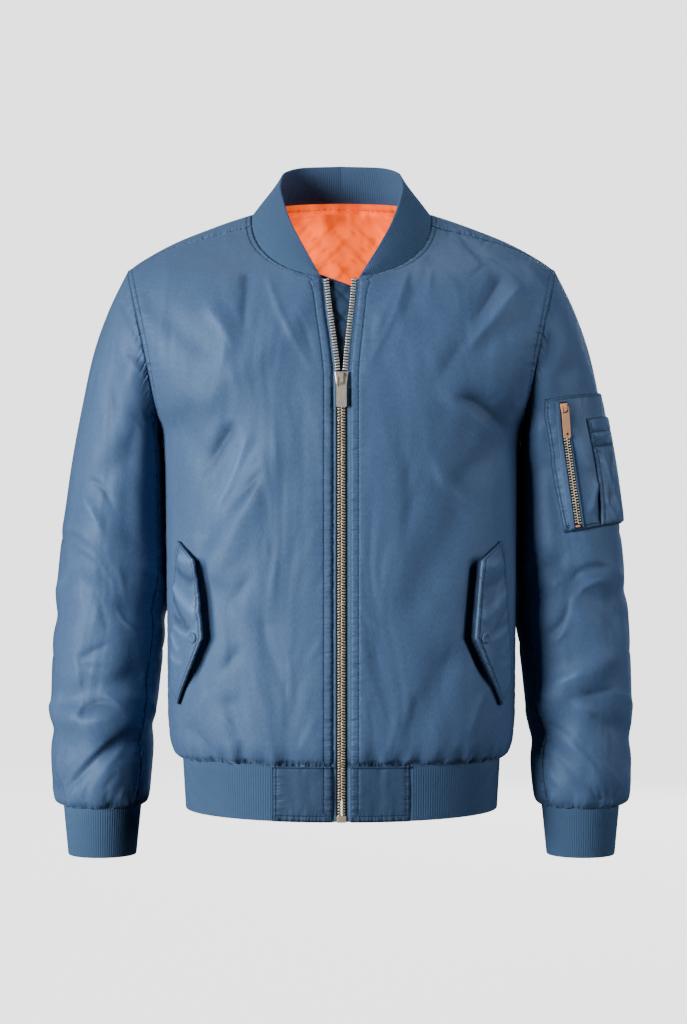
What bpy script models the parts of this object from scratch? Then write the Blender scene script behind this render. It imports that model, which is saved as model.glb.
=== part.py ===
"""Bomber jacket, filled out as worn and hollow inside.

Metres, +Z up. +X is the wearer's left, -Y is the front. The origin is the middle of the neck base,
level with the high points of the shoulders.
"""
from collections import namedtuple
from math import acos, atan, cos, degrees, exp, pi, radians, sin

import bmesh
import bpy
from mathutils import Matrix, Vector
from mathutils.bvhtree import BVHTree

# ---- Driving sizes -------------------------------------------------------------------------------------------
CLOTH = 0.0018          # shell satin with its backing
LINING = 0.0015
RIB_WALL = 0.0024       # rib knit, between the ribs
RIB_HEIGHT = 0.0009
SEAM = 0.0003           # gap between pieces at a seam

NECK_HALF = 0.0985      # half width of the neck base
NECK_FRONT = 0.098
NECK_DROP = 0.0765
NECK_BACK = 0.068
NECK_RISE = 0.018
NECK_ROUND = 0.900      # below 1 the neckline is squarer than an ellipse

ARM_TOP = Vector((0.2350, 0.008, -0.0600))
ARM_BOTTOM = Vector((0.1985, 0.008, -0.2350))
ARM_HALF_DEPTH = 0.080
ARM_SCOOP_FRONT = 0.004
ARM_SCOOP_BACK = 0.001

CLOSED_EDGE = 0.0095    # front edge from the middle, below the slider
OPEN_EDGE = {1: 0.0193, -1: 0.0220}   # at the neck, wearer's left and right
SLIDER_TOP = -0.1805
FRONT_TOP = -0.0757
HEM_SEAM = -0.5960
TAB_EDGE = 0.0730       # outer edge of the woven hem tabs
TAB_WALL = 0.0022

# ---- Colours (linear) and surface values ---------------------------------------------------------------------
SATIN = ((0.075, 0.165, 0.320), 0.38, 0.0)
SATIN_UNDER = ((0.065, 0.150, 0.300), 0.40, 0.0)
KNIT = ((0.075, 0.150, 0.270), 0.85, 0.0)
LINING_SATIN = ((0.870, 0.170, 0.030), 0.45, 0.0)
QUILTED = ((0.050, 0.110, 0.210), 0.50, 0.0)
TAPE = ((0.045, 0.085, 0.140), 0.80, 0.0)
BRASS = ((0.420, 0.330, 0.220), 0.35, 1.0)
NICKEL = ((0.360, 0.320, 0.270), 0.30, 1.0)
ROSE = ((0.760, 0.430, 0.270), 0.30, 1.0)

# ---- Body rows: from the front hem over the shoulder to the back hem -----------------------------------------
# steps: grid rows up to the next row. neck: angle round the neckline, front negative. mid_z, mid_y: the row's
# inner end where it is on the centre line. arm: angle round the armhole. side_z: height on the side seam.
# in_/out_: direction (yaw, dip in degrees) and pull (share of the row) of the row's curve at each end.
Row = namedtuple("Row", "name steps neck mid_z mid_y arm side_z in_yaw in_dip in_pull out_yaw out_dip out_pull")
FRONT_END = -81.0
BODY_ROWS = [
    Row("hem edge", 2, FRONT_END, -0.654, -0.1055, 180, -0.650, 0, 0, .53, 90, 0, .34),
    Row("hem seam", 1, FRONT_END, -0.596, -0.1080, 180, -0.596, 0, 0, .53, 90, 0, .34),
    Row("tuck", 1, FRONT_END, -0.588, -0.1160, 180, -0.588, 0, 0, .53, 90, 0, .34),
    Row("blouse", 1, FRONT_END, -0.572, -0.1205, 180, -0.572, 0, 0, .53, 90, 0, .34),
    Row("low", 2, FRONT_END, -0.545, -0.1215, 180, -0.545, 0, 0, .53, 90, 0, .34),
    Row("waist", 3, FRONT_END, -0.460, -0.1220, 180, -0.460, 0, 0, .53, 90, 0, .34),
    Row("ribs", 3, FRONT_END, -0.330, -0.1230, 180, -0.320, 0, 0, .53, 90, 0, .34),
    Row("underarm", 2, FRONT_END, -0.250, -0.1225, 180, -0.235, 0, 0, .52, 90, 0, .33),
    Row("chest", 2, FRONT_END, -0.212, -0.1215, 145, -0.235, 0, 0, .50, 76, 0, .30),
    Row("upper chest", 2, FRONT_END, -0.172, -0.1180, 113, -0.235, 0, 0, .49, 57, -3, .27),
    Row("collarbone", 2, FRONT_END, -0.115, -0.1085, 80, -0.235, 0, -1, .44, 40, -9, .29),
    Row("front neck", 2, FRONT_END, -0.0757, -0.098, 62, -0.235, 0, -3, .40, 30, -16, .31),
    Row("neck two", 2, -44, 0.0, 0.0, 35, -0.235, 0, -9, .36, 16, -26, .32),
    Row("shoulder seam", 1, -8, 0.0, 0.0, 9, -0.235, 1, -16, .36, 5, -36, .36),
    Row("ridge", 1, 8, 0.0, 0.0, -5, -0.235, 1, -17, .36, 0, -37, .36),
    Row("yoke", 2, 34, 0.0, 0.0, -18, -0.235, 2, -12, .35, -9, -34, .35),
    Row("back neck", 1, 90, 0.018, 0.068, -44, -0.235, 0, -4, .38, -22, -25, .33),
    Row("blade one", 2, 90, -0.030, 0.087, -62, -0.235, 0, -2, .42, -32, -18, .31),
    Row("blade two", 1, 90, -0.112, 0.108, -97, -0.235, 0, 0, .47, -49, -6, .28),
    Row("blade three", 2, 90, -0.145, 0.112, -113, -0.235, 0, 0, .49, -57, -3, .27),
    Row("blade four", 2, 90, -0.192, 0.1148, -145, -0.235, 0, 0, .50, -76, 0, .30),
    Row("back underarm", 3, 90, -0.243, 0.1150, -180, -0.235, 0, 0, .52, -90, 0, .33),
    Row("back ribs", 3, 90, -0.330, 0.1120, -180, -0.320, 0, 0, .53, -90, 0, .34),
    Row("back waist", 2, 90, -0.460, 0.1060, -180, -0.460, 0, 0, .53, -90, 0, .34),
    Row("back low", 1, 90, -0.545, 0.1085, -180, -0.545, 0, 0, .53, -90, 0, .34),
    Row("back blouse", 1, 90, -0.572, 0.1075, -180, -0.572, 0, 0, .53, -90, 0, .34),
    Row("back tuck", 1, 90, -0.588, 0.1030, -180, -0.588, 0, 0, .53, -90, 0, .34),
    Row("back hem seam", 2, 90, -0.596, 0.0955, -180, -0.596, 0, 0, .53, -90, 0, .34),
    Row("back hem edge", 0, 90, -0.654, 0.0930, -180, -0.650, 0, 0, .53, -90, 0, .34),
]
# Side seam: height, half width, depth.
Side = namedtuple("Side", "z x y")
SIDE_LINE = [
    Side(-0.650, 0.1710, 0.000), Side(-0.640, 0.1738, 0.000), Side(-0.596, 0.1742, 0.000),
    Side(-0.588, 0.1830, 0.000), Side(-0.572, 0.1885, 0.000), Side(-0.545, 0.1908, 0.000),
    Side(-0.460, 0.1915, 0.000), Side(-0.360, 0.1925, 0.001), Side(-0.300, 0.1935, 0.003),
    Side(-0.262, 0.1950, 0.006), Side(-0.235, 0.1985, 0.008),
]
PANEL_COLUMNS = 11

# ---- Sleeve rings: outer and inner point, middle depth and half depth ----------------------------------------
Ring = namedtuple("Ring", "name steps out_x out_z in_x in_z mid_y half_y")
SLEEVE_RINGS = [
    Ring("armhole", 2, 0.2350, -0.0600, 0.1985, -0.2350, 0.008, 0.080),
    Ring("cap", 2, 0.2565, -0.1034, 0.2010, -0.2460, 0.014, 0.083),
    Ring("cap low", 2, 0.2742, -0.1500, 0.1978, -0.2640, 0.024, 0.083),
    Ring("biceps", 2, 0.2882, -0.2100, 0.1958, -0.2920, 0.031, 0.081),
    Ring("upper arm", 2, 0.3005, -0.2750, 0.1948, -0.3400, 0.034, 0.079),
    Ring("elbow", 2, 0.3118, -0.3600, 0.1938, -0.3950, 0.034, 0.076),
    Ring("forearm", 2, 0.3190, -0.4350, 0.1955, -0.4500, 0.031, 0.072),
    Ring("low forearm", 2, 0.3215, -0.5050, 0.2010, -0.5080, 0.027, 0.068),
    Ring("wrist", 2, 0.3225, -0.5600, 0.2060, -0.5600, 0.023, 0.065),
    Ring("full wrist", 1, 0.3200, -0.6200, 0.2105, -0.6180, 0.018, 0.060),
    Ring("blouse", 1, 0.3155, -0.6420, 0.2140, -0.6400, 0.016, 0.054),
    Ring("cuff seam", 0, 0.3070, -0.6500, 0.2215, -0.6500, 0.015, 0.0445),
]
SLEEVE_SEAM = 145.0     # angle of the sleeve's two long seams from its outside
CUFF_EDGE_Z = -0.7035
CUFF_EDGE_OUT = 0.3020
CUFF_EDGE_IN = 0.2268
CUFF_EDGE_HALF_Y = 0.0390

# ---- Folds: soft troughs (negative depth) and ridges (positive) as straight lines on one view of a piece ------
# view: front or back, seen along Y (a is X, b is Z), or outside, seen along X (a is Y, b is Z).
Fold = namedtuple("Fold", "piece view a0 b0 a1 b1 width depth")
FOLDS = [
    Fold("front_right", "front", -0.106, -0.268, -0.143, -0.350, .017, -.0050),
    Fold("front_right", "front", -0.084, -0.277, -0.137, -0.385, .018, .0045),
    Fold("front_right", "front", -0.160, -0.560, -0.134, -0.590, .010, -.0030),
    Fold("front_right", "front", -0.118, -0.530, -0.100, -0.592, .010, -.0030),
    Fold("front_right", "front", -0.150, -0.150, -0.205, -0.100, .014, -.0030),
    Fold("front_right", "front", -0.030, -0.110, -0.110, -0.180, .016, .0025),
    Fold("front_right", "front", -0.170, -0.240, -0.120, -0.300, .016, -.0030),
    Fold("front_right", "front", -0.080, -0.450, -0.050, -0.580, .018, -.0030),
    Fold("front_left", "front", 0.036, -0.122, 0.015, -0.182, .010, .0025),
    Fold("front_left", "front", 0.027, -0.535, 0.036, -0.592, .008, -.0030),
    Fold("front_left", "front", 0.060, -0.120, 0.120, -0.190, .016, .0025),
    Fold("front_left", "front", 0.150, -0.150, 0.205, -0.105, .014, -.0030),
    Fold("front_left", "front", 0.130, -0.320, 0.080, -0.420, .020, -.0035),
    Fold("front_left", "front", 0.110, -0.490, 0.070, -0.585, .016, -.0030),
    Fold("front_left", "front", 0.165, -0.260, 0.120, -0.300, .015, -.0028),
    Fold("back", "back", -0.150, -0.110, -0.060, -0.300, .022, .0035),
    Fold("back", "back", 0.155, -0.100, 0.075, -0.290, .022, .0040),
    Fold("back", "back", -0.120, -0.330, -0.070, -0.560, .020, -.0040),
    Fold("back", "back", 0.105, -0.360, 0.060, -0.575, .020, -.0035),
    Fold("back", "back", 0.000, -0.430, 0.015, -0.585, .018, -.0030),
    Fold("back", "back", -0.180, -0.260, -0.110, -0.290, .015, -.0030),
    Fold("sleeve_right", "front", -0.210, -0.110, -0.240, -0.170, .012, -.0035),
    Fold("sleeve_right", "front", -0.225, -0.260, -0.285, -0.310, .016, -.0035),
    Fold("sleeve_right", "front", -0.215, -0.375, -0.295, -0.345, .015, .0040),
    Fold("sleeve_right", "front", -0.215, -0.425, -0.300, -0.400, .014, -.0040),
    Fold("sleeve_right", "front", -0.225, -0.505, -0.300, -0.530, .014, -.0045),
    Fold("sleeve_right", "front", -0.235, -0.560, -0.315, -0.545, .014, .0045),
    Fold("sleeve_right", "front", -0.232, -0.571, -0.312, -0.632, .012, -.0045),
    Fold("sleeve_left", "front", 0.215, -0.120, 0.240, -0.175, .012, -.0035),
    Fold("sleeve_left", "front", 0.222, -0.280, 0.250, -0.360, .015, -.0035),
    Fold("sleeve_left", "front", 0.235, -0.384, 0.300, -0.440, .014, -.0045),
    Fold("sleeve_left", "front", 0.218, -0.535, 0.290, -0.485, .014, .0045),
    Fold("sleeve_left", "front", 0.218, -0.571, 0.284, -0.640, .013, -.0050),
    Fold("sleeve_left", "front", 0.275, -0.530, 0.318, -0.600, .014, -.0035),
    Fold("sleeve_right", "back", -0.215, -0.330, -0.300, -0.380, .016, -.0045),
    Fold("sleeve_right", "back", -0.225, -0.440, -0.310, -0.420, .015, .0045),
    Fold("sleeve_right", "back", -0.225, -0.560, -0.310, -0.600, .014, -.0045),
    Fold("sleeve_left", "back", 0.215, -0.340, 0.305, -0.370, .016, -.0045),
    Fold("sleeve_left", "back", 0.220, -0.450, 0.310, -0.430, .015, .0045),
    Fold("sleeve_left", "back", 0.225, -0.580, 0.310, -0.560, .014, -.0045),
    Fold("sleeve_left", "outside", -0.030, -0.420, 0.070, -0.400, .014, -.0035),
    Fold("sleeve_right", "outside", -0.030, -0.430, 0.070, -0.450, .014, -.0035),
    Fold("sleeve_left", "outside", -0.030, -0.560, 0.060, -0.590, .014, -.0035),
    Fold("sleeve_right", "outside", -0.030, -0.580, 0.060, -0.550, .014, -.0035),
]
HEM_GATHERS = 11        # soft gathers above the rib on each half of the front and of the back
HEM_GATHER_DEPTH = 0.0013
CUFF_GATHERS = 9
CUFF_GATHER_DEPTH = 0.0016
GATHER_REACH = 0.030    # how far above the rib they fade out

# ---- Ribs ----------------------------------------------------------------------------------------------------
HEM_RIB_PITCH = 0.0060
COLLAR_RIB_PITCH = 0.0052
CUFF_RIB_PITCH = 0.0046
INSIDE_STEP = 4         # rib columns for each column of the plain inside


def rib_columns(length, pitch):
    """Outer columns of a band, two for each rib, in whole steps of the inside."""
    return INSIDE_STEP * round(2 * length / pitch / INSIDE_STEP)


# ---- Small tools ---------------------------------------------------------------------------------------------
def monotone(rows, key, field, where):
    """Value of one column at `where`, smooth between the rows and never past them."""
    keys = [key(row) for row in rows]
    values = [getattr(row, field) for row in rows]
    last = len(rows) - 1
    where = min(max(where, keys[0]), keys[last])
    spot = max(i for i in range(last) if keys[i] <= where)
    slopes = [(values[i + 1] - values[i]) / (keys[i + 1] - keys[i]) for i in range(last)]

    def tangent(i):
        if i in (0, last):
            return slopes[min(i, last - 1)]
        before, after = slopes[i - 1], slopes[i]
        return 0.0 if before * after <= 0 else 2 * before * after / (before + after)

    span = keys[spot + 1] - keys[spot]
    t = (where - keys[spot]) / span
    t2, t3 = t * t, t * t * t
    return ((2 * t3 - 3 * t2 + 1) * values[spot] + (t3 - 2 * t2 + t) * span * tangent(spot)
            + (3 * t2 - 2 * t3) * values[spot + 1] + (t3 - t2) * span * tangent(spot + 1))


def between(rows, field, t):
    """Value of one column at row position t, counted in rows."""
    last = len(rows) - 1
    t = min(max(t, 0.0), float(last))
    spot = min(int(t), last - 1)
    f = t - spot
    values = [getattr(rows[min(max(spot + k, 0), last)], field) for k in (-1, 0, 1, 2)]
    before, start, end, after = values
    rise_in, rise, rise_out = start - before, end - start, after - end
    m0 = 0.0 if rise_in * rise <= 0 else 2 * rise_in * rise / (rise_in + rise)
    m1 = 0.0 if rise_out * rise <= 0 else 2 * rise_out * rise / (rise_out + rise)
    if spot == 0:
        m0 = rise
    if spot == last - 1:
        m1 = rise
    return ((2 * f**3 - 3 * f**2 + 1) * start + (f**3 - 2 * f**2 + f) * m0
            + (3 * f**2 - 2 * f**3) * end + (f**3 - f**2) * m1)


def direction(yaw, dip):
    """Unit vector: yaw turns from +X towards +Y, dip below level is negative."""
    yaw, dip = radians(yaw), radians(dip)
    return Vector((cos(yaw) * cos(dip), sin(yaw) * cos(dip), sin(dip)))


def bezier(p0, p1, p2, p3, t):
    s = 1 - t
    return p0 * (s**3) + p1 * (3 * s * s * t) + p2 * (3 * s * t * t) + p3 * (t**3)


def resample(points, count):
    """The same line with `count` evenly spaced points."""
    lengths = [0.0]
    for a, b in zip(points, points[1:]):
        lengths.append(lengths[-1] + (b - a).length)
    result = []
    spot = 0
    for k in range(count):
        target = lengths[-1] * k / (count - 1)
        while spot < len(points) - 2 and lengths[spot + 1] < target:
            spot += 1
        span = lengths[spot + 1] - lengths[spot]
        result.append(points[spot].lerp(points[spot + 1], (target - lengths[spot]) / span))
    return result


def mirrored(point, side):
    return Vector((point.x * side, point.y, point.z))


def smooth_step(value):
    value = min(max(value, 0.0), 1.0)
    return value * value * (3 - 2 * value)


def material(name, look):
    colour, roughness, metallic = look
    result = bpy.data.materials.new(name)
    result.use_nodes = True
    shader = result.node_tree.nodes["Principled BSDF"]
    shader.inputs["Base Color"].default_value = (*colour, 1.0)
    shader.inputs["Roughness"].default_value = roughness
    shader.inputs["Metallic"].default_value = metallic
    return result


def add_object(name, bm, look, origin=None):
    """Finish a bmesh as one object with its own material, with its origin where it turns."""
    bmesh.ops.recalc_face_normals(bm, faces=bm.faces)
    if bm.calc_volume(signed=True) < 0:
        bmesh.ops.reverse_faces(bm, faces=bm.faces)
    if origin is not None:
        bmesh.ops.translate(bm, verts=bm.verts, vec=-origin)
    mesh = bpy.data.meshes.new(name)
    bm.to_mesh(mesh)
    bm.free()
    mesh.shade_smooth()
    mesh.set_sharp_from_angle(angle=radians(40))
    mesh.materials.append(material(name, look))
    obj = bpy.data.objects.new(name, mesh)
    if origin is not None:
        obj.location = origin
    bpy.context.scene.collection.objects.link(obj)
    return obj


# ---- Form of the body ----------------------------------------------------------------------------------------
def neck_point(angle):
    c, s = cos(radians(angle)), sin(radians(angle))
    x = NECK_HALF * max(c, 0.0) ** NECK_ROUND
    if s < 0:
        return Vector((x, -NECK_FRONT * abs(s) ** NECK_ROUND, -NECK_DROP * abs(s) ** NECK_ROUND))
    return Vector((x, NECK_BACK * s, NECK_RISE * s))


def armhole_point(angle):
    c, s = cos(radians(angle)), sin(radians(angle))
    middle = (ARM_TOP + ARM_BOTTOM) / 2
    point = middle + (ARM_TOP - ARM_BOTTOM) / 2 * c
    point.y -= ARM_HALF_DEPTH * s
    point.x -= (ARM_SCOOP_FRONT if s > 0 else ARM_SCOOP_BACK) * s * s
    return point


def side_point(z):
    key = lambda row: row.z
    return Vector((monotone(SIDE_LINE, key, "x", z), monotone(SIDE_LINE, key, "y", z), z))


def front_edge(z, side):
    """Distance of a front's edge from the middle line: closed below the slider, open above it."""
    open_share = smooth_step((z - SLIDER_TOP) / (FRONT_TOP - SLIDER_TOP)) * 0.45
    open_share += 0.55 * min(max((z - SLIDER_TOP) / (FRONT_TOP - SLIDER_TOP), 0.0), 1.0)
    return CLOSED_EDGE + (OPEN_EDGE[side] - CLOSED_EDGE) * open_share


def neck_end(side):
    """Neckline angle at a front's edge."""
    return -degrees(acos((OPEN_EDGE[side] / NECK_HALF) ** (1 / NECK_ROUND)))


ROW_INDEX = {row.name: k for k, row in enumerate(BODY_ROWS)}


def body_point(u, t, side=1):
    """Point of the left half of the body: u from the centre to the side, t counted in body rows."""
    neck = between(BODY_ROWS, "neck", t)
    if neck <= FRONT_END + 0.01:
        z = between(BODY_ROWS, "mid_z", t)
        inner = Vector((front_edge(z, side), between(BODY_ROWS, "mid_y", t), z))
        if t > ROW_INDEX["front neck"] - 0.001:
            inner = neck_point(neck_end(side))
    elif neck >= 89.99:
        inner = Vector((0.0, between(BODY_ROWS, "mid_y", t), between(BODY_ROWS, "mid_z", t)))
    else:
        share = min(max((neck - FRONT_END) / -FRONT_END, 0.0), 1.0)
        inner = neck_point(neck + (neck_end(side) - FRONT_END) * (1 - share))
    arm = between(BODY_ROWS, "arm", t)
    if abs(arm) < 179.99:
        outer = armhole_point(arm)
    else:
        outer = side_point(between(BODY_ROWS, "side_z", t))
    chord = (outer - inner).length
    heading = direction(between(BODY_ROWS, "in_yaw", t), between(BODY_ROWS, "in_dip", t))
    arrival = direction(between(BODY_ROWS, "out_yaw", t), between(BODY_ROWS, "out_dip", t))
    start = inner + heading * chord * between(BODY_ROWS, "in_pull", t)
    end = outer - arrival * chord * between(BODY_ROWS, "out_pull", t)
    return bezier(inner, start, end, outer, u)


def body_normal(u, t, side=1):
    step = 0.02
    u0, u1 = max(u - step, 0.0), min(u + step, 1.0)
    across = body_point(u1, t, side) - body_point(u0, t, side)
    t0, t1 = max(t - 0.06, 0.0), min(t + 0.06, len(BODY_ROWS) - 1.0)
    along = body_point(u, t1, side) - body_point(u, t0, side)
    return across.cross(along).normalized()


# ---- Form of the sleeves -------------------------------------------------------------------------------------
def sleeve_point(angle, t):
    """Point of the left sleeve: angle 0 outside, 90 front, 180 inside, 270 back; t counted in rings."""
    value = lambda field: between(SLEEVE_RINGS, field, t)
    outer = Vector((value("out_x"), value("mid_y"), value("out_z")))
    inner = Vector((value("in_x"), value("mid_y"), value("in_z")))
    c, s = cos(radians(angle)), sin(radians(angle))
    point = (outer + inner) / 2 + (outer - inner) / 2 * c
    point.y -= value("half_y") * s
    fade = max(1 - t, 0.0)
    point.x -= (ARM_SCOOP_FRONT if s > 0 else ARM_SCOOP_BACK) * s * s * fade
    return point


def sleeve_normal(angle, t):
    around = sleeve_point(angle + 4, t) - sleeve_point(angle - 4, t)
    t0, t1 = max(t - 0.08, 0.0), min(t + 0.08, len(SLEEVE_RINGS) - 1.0)
    along = sleeve_point(angle, t1) - sleeve_point(angle, t0)
    return around.cross(along).normalized()


def seam_normal(t):
    """At the armhole both walls meet on one slant, halfway between body and sleeve."""
    arm_angle = between(BODY_ROWS, "arm", t)
    body = outward(body_normal(1.0, t), armhole_point(arm_angle))
    sleeve = outward(sleeve_normal(arm_angle, 0.0), armhole_point(arm_angle), around_arm=True)
    return (body + sleeve).normalized()


def seam_step(t):
    """Step from the armhole seam into the body panel, along its surface."""
    angle = between(BODY_ROWS, "arm", t)
    along = armhole_point(angle + 2) - armhole_point(angle - 2)
    step = along.cross(seam_normal(t)).normalized() * SEAM / 2
    return -step if step.dot(sleeve_point(angle, 0.5) - sleeve_point(angle, 0.0)) > 0 else step


def outward(normal, point, around_arm=False):
    """The normal turned to point out of the body, or out of the sleeve."""
    centre = Vector((0.0, 0.0, point.z - 0.04))
    if around_arm:
        centre = (ARM_TOP + ARM_BOTTOM) / 2
        centre.x -= 0.01
    return normal if normal.dot(point - centre) >= 0 else -normal


# ---- Folds and gathers ---------------------------------------------------------------------------------------
def fold_push(piece, point, normal):
    push = 0.0
    for fold in FOLDS:
        if fold.piece != piece:
            continue
        if fold.view == "outside":
            a, facing = point.y, abs(normal.x)
        else:
            a, facing = point.x, normal.y * (1 if fold.view == "back" else -1)
        if facing <= 0.05:
            continue
        run = Vector((fold.a1 - fold.a0, fold.b1 - fold.b0))
        spot = Vector((a - fold.a0, point.z - fold.b0))
        share = min(max(spot.dot(run) / run.length_squared, 0.0), 1.0)
        away = (spot - run * share).length
        push += fold.depth * exp(-(away / fold.width) ** 2) * smooth_step(facing / 0.4)
    return push


def gather_push(share, count, height, seam_z, depth):
    fade = smooth_step(1 - (height - seam_z) / GATHER_REACH) * smooth_step((height - seam_z) / 0.006)
    return depth * fade * sin(2 * pi * count * share)


# ---- Walls ---------------------------------------------------------------------------------------------------
def pull_in(grid, top=False, bottom=False, left=False, right=False, gap=SEAM / 2):
    """Move the chosen edges of a grid of points a little inwards, which leaves the gap at its seams."""
    rows = [list(row) for row in grid]

    def towards(point, other):
        return point + (other - point).normalized() * gap

    if top:
        rows[0] = [towards(a, b) for a, b in zip(grid[0], grid[1])]
    if bottom:
        rows[-1] = [towards(a, b) for a, b in zip(grid[-1], grid[-2])]
    for k, row in enumerate(grid):
        if left:
            rows[k][0] = towards(rows[k][0], row[1])
        if right:
            rows[k][-1] = towards(rows[k][-1], row[-2])
    return rows


def halves(ring):
    """A quad as two triangles along its shorter diagonal, so that both skins of a wall bend alike."""
    if len(ring) < 4:
        return [ring]
    a, b, c, d = ring
    if (Vector(a) - Vector(c)).length < (Vector(b) - Vector(d)).length:
        return [[a, b, c], [a, c, d]]
    return [[a, b, d], [b, c, d]]


def wall(name, patches, thickness, look):
    """One closed wall: the patches are grids of outer points with their normals, and share equal points."""
    bm = bmesh.new()
    outer, inner = {}, {}

    def vertex(point, normal):
        key = (round(point.x, 6), round(point.y, 6), round(point.z, 6))
        if key not in outer:
            outer[key] = bm.verts.new(point)
            inner[key] = bm.verts.new(point - normal * thickness)
        return key

    edges = {}
    for points, normals in patches:
        keys = [[vertex(p, n) for p, n in zip(prow, nrow)] for prow, nrow in zip(points, normals)]
        for upper, lower in zip(keys, keys[1:]):
            for k in range(len(upper) - 1):
                ring = [upper[k], upper[k + 1], lower[k + 1], lower[k]]
                ring = [key for i, key in enumerate(ring) if key != ring[i - 1]]
                for piece in halves(ring):
                    bm.faces.new([outer[key] for key in piece])
                    bm.faces.new([inner[key] for key in reversed(piece)])
                for a, b in zip(ring, ring[1:] + ring[:1]):
                    edges[frozenset((a, b))] = edges.get(frozenset((a, b)), 0) + 1
    for edge, uses in edges.items():
        if uses == 1:
            a, b = edge
            bm.faces.new([outer[a], outer[b], inner[b], inner[a]])
    return add_object(name, bm, look)


def stitch(bm, first, second, closed):
    """Triangles between two lines of vertices with different counts."""
    if closed:
        first = first + first[:1]
        second = second + second[:1]
    i = j = 0
    while i < len(first) - 1 or j < len(second) - 1:
        next_i = (i + 1) / (len(first) - 1)
        next_j = (j + 1) / (len(second) - 1)
        if j == len(second) - 1 or (i < len(first) - 1 and next_i <= next_j):
            bm.faces.new([first[i], first[i + 1], second[j]])
            i += 1
        else:
            bm.faces.new([first[i], second[j + 1], second[j]])
            j += 1


def ribbed(name, outer_rows, inner_rows, look, closed):
    """A knit band: ribs on its outer points, a plain inside with fewer columns."""
    bm = bmesh.new()
    outer = [[bm.verts.new(p) for p in row] for row in outer_rows]
    inner = [[bm.verts.new(p) for p in row] for row in inner_rows]
    for rows in (outer, inner):
        for upper, lower in zip(rows, rows[1:]):
            count = len(upper) if closed else len(upper) - 1
            for k in range(count):
                n = (k + 1) % len(upper)
                bm.faces.new([upper[k], upper[n], lower[n], lower[k]])
    stitch(bm, outer[0], inner[0], closed)
    stitch(bm, outer[-1], inner[-1], closed)
    if not closed:
        for end in (0, -1):
            column_out = [row[end] for row in outer]
            column_in = [row[end] for row in inner]
            stitch(bm, column_out, column_in, False)
    return add_object(name, bm, look)


# ---- Shell panels --------------------------------------------------------------------------------------------
def row_positions(first, last):
    """Grid rows from one named body row to another."""
    spots = []
    for k in range(ROW_INDEX[first], ROW_INDEX[last]):
        spots += [k + j / BODY_ROWS[k].steps for j in range(BODY_ROWS[k].steps)]
    return spots + [ROW_INDEX[last]]


def column_positions(count):
    """Columns across a half panel, a little closer at the centre."""
    return [(k / count) ** 1.12 for k in range(count + 1)]


def half_panel(piece, first, last, side):
    """Outer points and normals of one half panel, before and after its folds."""
    points, normals = [], []
    columns = column_positions(PANEL_COLUMNS)
    for t in row_positions(first, last):
        prow, nrow = [], []
        on_arm = abs(between(BODY_ROWS, "arm", t)) < 179.99
        for u in columns:
            point = body_point(u, t, side)
            normal = outward(body_normal(u, t, side), point)
            if u == 1.0 and (on_arm or abs(point.z - ARM_BOTTOM.z) < 1e-5):
                normal = seam_normal(t)
                point += seam_step(t)
            if u == 1.0 and point.z < ARM_BOTTOM.z - 0.001:
                normal = Vector((normal.x, 0.0, normal.z)).normalized()
            if u == 0.0 and between(BODY_ROWS, "neck", t) > 89.0:
                normal = Vector((0.0, normal.y, normal.z)).normalized()
            point, normal = mirrored(point, side), mirrored(normal, side)
            edge_fade = smooth_step((1 - u) / 0.12)
            if piece != "back":
                edge_fade *= smooth_step((u - 0.02) / 0.10)
            push = fold_push(piece, point, normal) * edge_fade
            if piece != "back" or between(BODY_ROWS, "neck", t) > 89.0:
                push += gather_push(u, HEM_GATHERS, point.z, HEM_SEAM, HEM_GATHER_DEPTH) * edge_fade
            prow.append(point + normal * push)
            nrow.append(normal)
        points.append(prow)
        normals.append(nrow)
    return points, normals


def build_fronts():
    for side, name in ((1, "front_left"), (-1, "front_right")):
        points, normals = half_panel(name, "hem seam", "shoulder seam", side)
        points = pull_in(points, top=True, bottom=True, right=True)
        wall(name, [(points, normals)], CLOTH, SATIN)


def build_back():
    patches = []
    for side in (1, -1):
        points, normals = half_panel("back", "shoulder seam", "back hem seam", side)
        patches.append((pull_in(points, top=True, bottom=True, right=True), normals))
    wall("back", patches, CLOTH, SATIN)


# ---- Sleeves and cuffs ---------------------------------------------------------------------------------------
def sleeve_rows():
    spots = []
    for k, ring in enumerate(SLEEVE_RINGS):
        spots += [k + j / ring.steps for j in range(ring.steps)]
    return spots + [len(SLEEVE_RINGS) - 1]


def arm_columns():
    """The sleeve's columns start where the body's rows end on the armhole: the upper ones and the under ones."""
    spots = [(t, between(BODY_ROWS, "arm", t)) for t in row_positions("underarm", "back underarm")]
    upper = [spot for spot in spots if abs(spot[1]) <= SLEEVE_SEAM + 0.01]
    front = [spot for spot in spots if spot[1] >= SLEEVE_SEAM - 0.01]
    back = [spot for spot in spots if spot[1] <= -SLEEVE_SEAM + 0.01]
    return upper, back[:-1] + [(t, angle - 360) for t, angle in front]


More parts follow.
